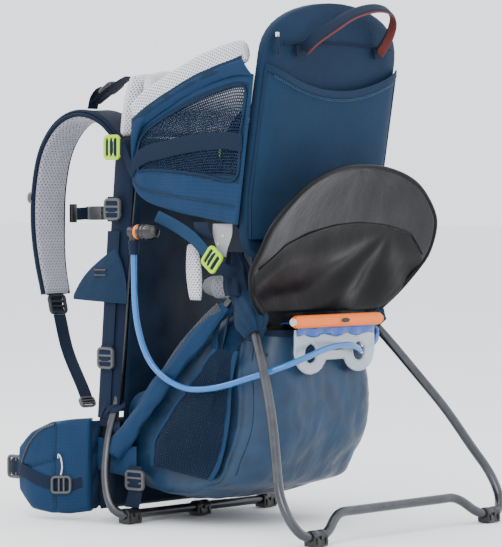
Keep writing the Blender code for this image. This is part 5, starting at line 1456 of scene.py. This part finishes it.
# ---- wearer's harness ------------------------------------------------------------------------
def shoulder_straps():
    """The yoke and, on each side, a padded strap with its locks, webbing and load lifter."""
    clear = 0.0085

    def on_back(z):
        return back_face(z) + clear

    def yoke(u, v):
        z = lerp(0.4205, 0.4775, v)
        return Vector(((2 * u - 1) * lerp(0.0615, 0.0655, v), on_back(z), z))

    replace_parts(panel("yoke_pad", yoke, (40, 24), 0.0120, navy_cloth, "harness", edge=0.006,
                                crumple=0.0008), "shoulder_yoke")
    for label, side in SIDES:
        points = [(0.078, on_back(0.485), 0.485), (0.081, on_back(0.515) + 0.004, 0.515),
                  (0.086, 0.262, 0.544), (0.090, 0.300, 0.5545), (0.094, 0.336, 0.541),
                  (0.098, 0.362, 0.506), (0.100, 0.3740, 0.455), (0.101, 0.3755, 0.400),
                  (0.103, 0.369, 0.350), (0.105, 0.357, 0.306)]
        route = mirror(points, side)
        line = paced(route)

        def width(v):
            return lerp(0.061, 0.050, smooth((v - 0.70) / 0.3))

        def inner_normal(v):
            run = (line(min(1, v + 0.01)) - line(max(0, v - 0.01))).normalized()
            return X.cross(run).normalized()

        def layer(offset, narrow):
            def at(u, v):
                bend = 0.0016 * (2 * u - 1) ** 2
                return (line(v) + X * ((u - 0.5) * width(v) * narrow)
                        + inner_normal(v) * (offset + bend))
            return at

        sign = 1 if inner_normal(0.8).y < 0 else -1

        def channels(u, v):
            return -0.0010 * math.exp(-((v * 9) % 1 - 0.5) ** 2 / 0.002) if v > 0.80 else 0.0

        panel("strap_mesh_" + label, layer(sign * 0.0030, 0.94), (22, 120), 0.0080, grey_spacer,
                        "harness", edge=0.005, relief=channels)
        outer = panel("strap_shell_" + label, layer(-sign * 0.0030, 1.0), (22, 120), 0.0070, navy_cloth,
                      "harness", edge=0.005, crumple=0.0006)
        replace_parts(outer, "shoulder_strap_" + label)
        for turn in (-1, 1):
            rod(f"strap_binding_{label}_{'in' if turn < 0 else 'out'}",
                [line(v / 80) + X * (turn * width(v / 80) * 0.495) for v in range(81)], 0.0030, 10,
                navy_cloth, "harness", up=X)
        web = [line(v / 30) - inner_normal(v / 30) * (sign * 0.0078) for v in range(14, 31)]
        strap("strap_daisy_" + label, web, X, 0.020, 0.0016, navy_tape, "harness")
        shape = Shape()
        for v in (0.56, 0.66, 0.76, 0.86):
            spot = line(v) - inner_normal(v) * (sign * 0.0094)
            shape.tube([spot - X * 0.0095, spot + X * 0.0095], 0.0011, 8, up=Z)
        shape.make("strap_bartacks_" + label, thread_dark, "harness")
        spot = line(0.64) + X * (side * 0.031) - inner_normal(0.64) * sign * 0.004
        loop = [spot, spot + X * side * 0.0035 - Z * 0.002, spot + X * side * 0.0040 - Z * 0.012,
                spot - Z * 0.015]
        strap("strap_loop_" + label, loop, Y, 0.007, 0.0014, grey_moulded, "harness")
        down = (line(1.0) - line(0.985)).normalized()
        centre = line(1.0) + down * 0.0152
        lock("strap_lock_" + label, centre, down, X, dark_moulded, "harness", (0.034, 0.029), 0.0046,
             ("strap_buckle_" + label,))
        threaded("strap_lock_webbing_" + label, centre, down, X, navy_tape, "harness", 0.015, 0.022)
        start = centre + down * 0.015
        lower = [start, start + Vector((side * 0.004, -0.020, -0.050)), Vector((side * 0.119, 0.292, 0.178)),
                 Vector((side * 0.1235, 0.2765, 0.156))]
        webbing = strap("strap_webbing_" + label, lower, X, 0.0240, 0.0018, navy_tape, None, crumple=0.0004)
        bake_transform(webbing)
        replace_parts(webbing, "shoulder_webbing_" + label)
        spot = Vector(lower[-1]) + Vector((side * 0.0005, 0.0020, 0.003))
        lock("strap_anchor_" + label, spot, Vector((0, 0.5, 0.86)), X, grey_moulded, "frame",
             (0.029, 0.016), 0.0034)
        lifter = [(side * 0.088, 0.2980, 0.5700), (side * 0.088, 0.2700, 0.5860),
                  (side * 0.088, 0.2450, 0.6000), (side * 0.088, 0.2290, 0.6060)]
        lifter_web = strap("lifter_" + label, lifter, X, 0.0235, 0.0018, navy_tape, None)
        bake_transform(lifter_web)
        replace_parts(lifter_web, "load_lifter_" + label)
        spot = Vector((side * 0.088, 0.2660, 0.5910))
        lock("lifter_lock_" + label, spot, Vector((0, 0.83, -0.50)), X, dark_moulded, "harness",
             (0.033, 0.028), 0.0044)
        tail = [spot + Vector((0, 0.010, 0.002)), spot + Vector((0, 0.020, -0.001)),
                spot + Vector((0, 0.031, -0.012)), spot + Vector((0, 0.036, -0.028))]
        strap("lifter_tail_" + label, tail, X, 0.0200, 0.0016, navy_tape, "harness")


def sternum():
    """The chest strap's two halves, their gliders and the clasp."""
    z, y, x = 0.418, 0.3610, -0.014
    for label, side in SIDES:
        end = x + side * 0.0225
        route = [(side * 0.0685, y + 0.001, z), (lerp(side * 0.0685, end, 0.5), y + 0.0022, z - 0.001),
                 (end, y, z)]
        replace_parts(strap("sternum_webbing_" + label, route, Z, 0.0175, 0.0018, navy_tape, "sternum"),
                    "sternum_strap_" + label)
        shape = Shape()
        shape.block(Vector((side * 0.0660, y - 0.0003, z)), (X, Z, Y), (0.010, 0.026, 0.0060))
        shape.make("sternum_glider_" + label, dark_moulded, "sternum")
    shape = Shape()
    centre = Vector((x, y, z))
    shape.block(centre - X * 0.010, (X, Z, Y), (0.022, 0.0195, 0.0098))
    shape.block(centre + X * 0.0135, (X, Z, Y), (0.017, 0.0185, 0.0080))
    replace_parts(shape.make("sternum_clasp", grey_moulded, "sternum", 35.0), "sternum_buckle")
    shape = Shape()
    for turn in (-1, 1):
        shape.block(centre + X * 0.0035 + Z * (turn * 0.0084), (X, Z, Y), (0.014, 0.0028, 0.0062))
    shape.block(centre + X * 0.0035, (X, Z, Y), (0.014, 0.0040, 0.0050))
    shape.make("sternum_prongs", dark_moulded, "sternum", 35.0)


def hip_fins():
    """Each padded hip fin with its gusset, zip, adjuster, webbing and front lock."""
    for label, side in SIDES:
        body = f"hip_fin_{label}_body"
        knots = [(0.140, 0.2540), (0.157, 0.2800), (0.166, 0.3080), (0.169, 0.3330), (0.166, 0.3580)]
        low = [0.012, 0.008, 0.008, 0.012, 0.038]
        high = [0.139, 0.137, 0.133, 0.120, 0.096]
        route = paced([(side * x, y, 0) for x, y in knots])
        keys = [0, 0.26, 0.50, 0.76, 1.0]

        def at(u, v, lift=0.0):
            spot = route(u)
            run = route(min(1, u + 0.02)) - route(max(0, u - 0.02))
            out = Vector((run.y, -run.x, 0)).normalized() * side
            bottom = float(np.interp(u, keys, low))
            top = float(np.interp(u, keys, high))
            return Vector((spot.x, spot.y,
                           lerp(bottom, top, v))) + out * (lift + 0.0030 * math.sin(math.pi * v))

        def outer(u, v):
            return at(u, v, 0.0048)

        def inner(u, v):
            return at(u, v, -0.0062)

        def seams(u, v):
            level = math.exp(-((v - 0.62 + 0.10 * u) ** 2) / 0.0012) * (u > 0.40)
            groove = math.exp(-(u - 0.42) ** 2 / 0.0006) + level
            pucker = 0.25 * math.sin(u * 120) * math.exp(-((v - 0.62 + 0.10 * u) ** 2) / 0.003)
            return (-0.0022 * (groove + pucker)) * side

        shell = panel("hip_shell_" + label, outer, (70, 44), 0.0125, ripstop_blue, body, edge=0.008,
                      crumple=0.0010, grain=24, relief=seams)
        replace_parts(shell, "hip_fin_" + label)
        panel("hip_mesh_" + label, inner, (50, 36), 0.0080, grey_spacer, body, edge=0.006)

        def gusset(u, v):
            z = lerp(0.0140, 0.1350, v)
            start = Vector((side * 0.1180, back_face(z) + 0.0040, z))
            end = at(0.03, clamp((z - 0.012) / 0.127), -0.0010)
            fold = 0.0040 * math.sin(math.pi * u) * (1 + 0.5 * math.sin(v * 21 + u * 5))
            return start.lerp(end, u) - Vector((side * -0.4, 0.9, 0)) * fold

        piece = panel("hip_gusset_" + label, gusset, (22, 34), 0.0060, deep_blue, None, edge=0.003,
                      crumple=0.0012, grain=44)
        root, tip = Vector((side * 0.1180, back_face(0.075) + 0.0040, 0.075)), at(0.03, 0.5, -0.0010)
        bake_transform(piece)
        out = X * side
        curve = [outer(u, v) + out * 0.0064 for u,
                 v in ((0.42, 0.965), (0.60, 0.95), (0.76, 0.86), (0.88, 0.66), (0.93, 0.40))]
        rod("hip_zip_" + label, smooth_route(curve, 0.004), 0.0016, 8, dark_moulded, body, up=Z)
        shape = Shape()
        lifted = [p + out * 0.0012 for p in smooth_route(curve, 0.0022)]
        for spot, ahead in zip(lifted[::2], lifted[1::2]):
            shape.tube([spot, spot.lerp(ahead, 0.5)], 0.0009, 6, up=Z)
        shape.make("hip_zip_teeth_" + label, grey_moulded, body)
        shape = Shape()
        stitches(shape, [outer(u, 0.62 - 0.10 * u) + out * 0.0045 for u in (0.44, 0.55, 0.68, 0.80, 0.92)],
                 out)
        stitches(shape, [outer(0.405, v) + out * 0.0052 for v in (0.06, 0.3, 0.5, 0.7, 0.94)], out)
        stitches(shape, [outer(0.435, v) + out * 0.0052 for v in (0.06, 0.3, 0.5, 0.7, 0.94)], out)
        shape.make("hip_stitching_" + label, thread_dark, body)
        web = [outer(u, v) + out * 0.0072 for u, v in ((0.98, 0.50), (0.80, 0.46), (0.62, 0.38), (0.44, 0.33),
                                                      (0.24, 0.31), (0.05, 0.33))]
        strap("hip_webbing_" + label, web, Z, 0.0185, 0.0018, navy_tape, body)
        spot = outer(0.30, 0.315) + out * 0.0104
        lock("hip_adjuster_" + label, spot, (outer(0.34, 0.315) - outer(0.26, 0.315)), Z * side,
             grey_moulded, body, (0.025, 0.030), 0.0038)
        tip = Vector((side * 0.165, 0.378, 0.067))
        lock("hip_front_lock_" + label, tip, Y, Z * side, grey_moulded, body, (0.033, 0.028), 0.0044,
             ("hip_buckle_" + label,))
        tongue = [outer(0.90, 0.50), Vector((side * 0.1665, 0.3660, 0.067)),
                  Vector((side * 0.1668, 0.3780, 0.067)), Vector((side * 0.1655, 0.3870, 0.067)),
                  Vector((side * 0.1635, 0.3800, 0.067))]
        strap("hip_tongue_" + label, tongue, Z, 0.0220, 0.0018, navy_tape, body)
        loop = [outer(0.36, 0.60) + out * 0.007, outer(0.335, 0.64) + out * 0.010,
                outer(0.30, 0.60) + out * 0.011, outer(0.285, 0.50) + out * 0.011,
                outer(0.30, 0.42) + out * 0.011]
        rod("hip_cord_loop_" + label, smooth_route(loop, 0.003), 0.0011, 8, white_moulded, body, up=X)


# ---- setting -------------------------------------------------------------------------------
def setting():
    """Studio floor, world light, four soft lamps and the camera."""
    world = bpy.data.worlds.new("studio")
    bpy.context.scene.world = world
    world.use_nodes = True
    world.node_tree.nodes["Background"].inputs[0].default_value = (0.93, 0.95, 1.0, 1.0)
    world.node_tree.nodes["Background"].inputs[1].default_value = 1.95
    shape = Shape()
    shape.grid([[Vector((x, y, -0.0008)) - SHIFT for x in (-30, 0, 30)] for y in (-30, 0, 30)])
    floor_finish = Finish("studio_floor", 0.9)
    cloud = floor_finish.noise(floor_finish.place, 2.0, 2.0)
    floor_finish.colour(floor_finish.mix(cloud, (0.90, 0.90, 0.90), (0.93, 0.93, 0.93)))
    shape.make("studio_floor", floor_finish.material, None)
    lights = (((-2.6, -1.6, 2.4), 2.2, 70.0, (1.0, 0.98, 0.95)),
              ((1.9, -2.6, 1.6), 1.6, 15.0, (0.94, 0.97, 1.0)),
              ((-0.6, 2.4, 2.2), 1.8, 35.0, (1.0, 1.0, 1.0)),
              ((0.0, -0.4, 3.2), 1.6, 15.0, (1.0, 1.0, 1.0)))
    for index, (spot, size, power, colour) in enumerate(lights):
        data = bpy.data.lights.new(f"softbox_{index}", "AREA")
        data.shape = "DISK"
        data.size = size
        data.energy = power
        data.color = colour
        light = bpy.data.objects.new(f"softbox_{index}", data)
        light.location = spot
        light.rotation_mode = "QUATERNION"
        light.rotation_quaternion = (Vector((0, 0, 0.3)) - Vector(spot)).to_track_quat("-Z", "Y")
        bpy.context.scene.collection.objects.link(light)
    lens = bpy.data.cameras.new("camera")
    lens.lens = 197.4
    lens.sensor_width = 36.0
    lens.clip_end = 200.0
    camera = bpy.data.objects.new("camera", lens)
    camera.location = (-3.1095, -2.6758, 0.4451)
    camera.rotation_mode = "QUATERNION"
    camera.rotation_quaternion = (-Vector((-0.7593, -0.6502, 0.0265))).to_track_quat("-Z", "Y")
    bpy.context.scene.collection.objects.link(camera)
    bpy.context.scene.camera = camera


frame_tubes()
foot_clips()
paint_hardware()
hinge_sleeves()
back_panels()
side_covers()
bag_body()
bag_sides()
backrest_body()
rear_pocket()
handle()
wings()
tension_straps()
child_seat()
lid()
reservoir()
hose_and_valve()
shoulder_straps()
sternum()
hip_fins()
setting()
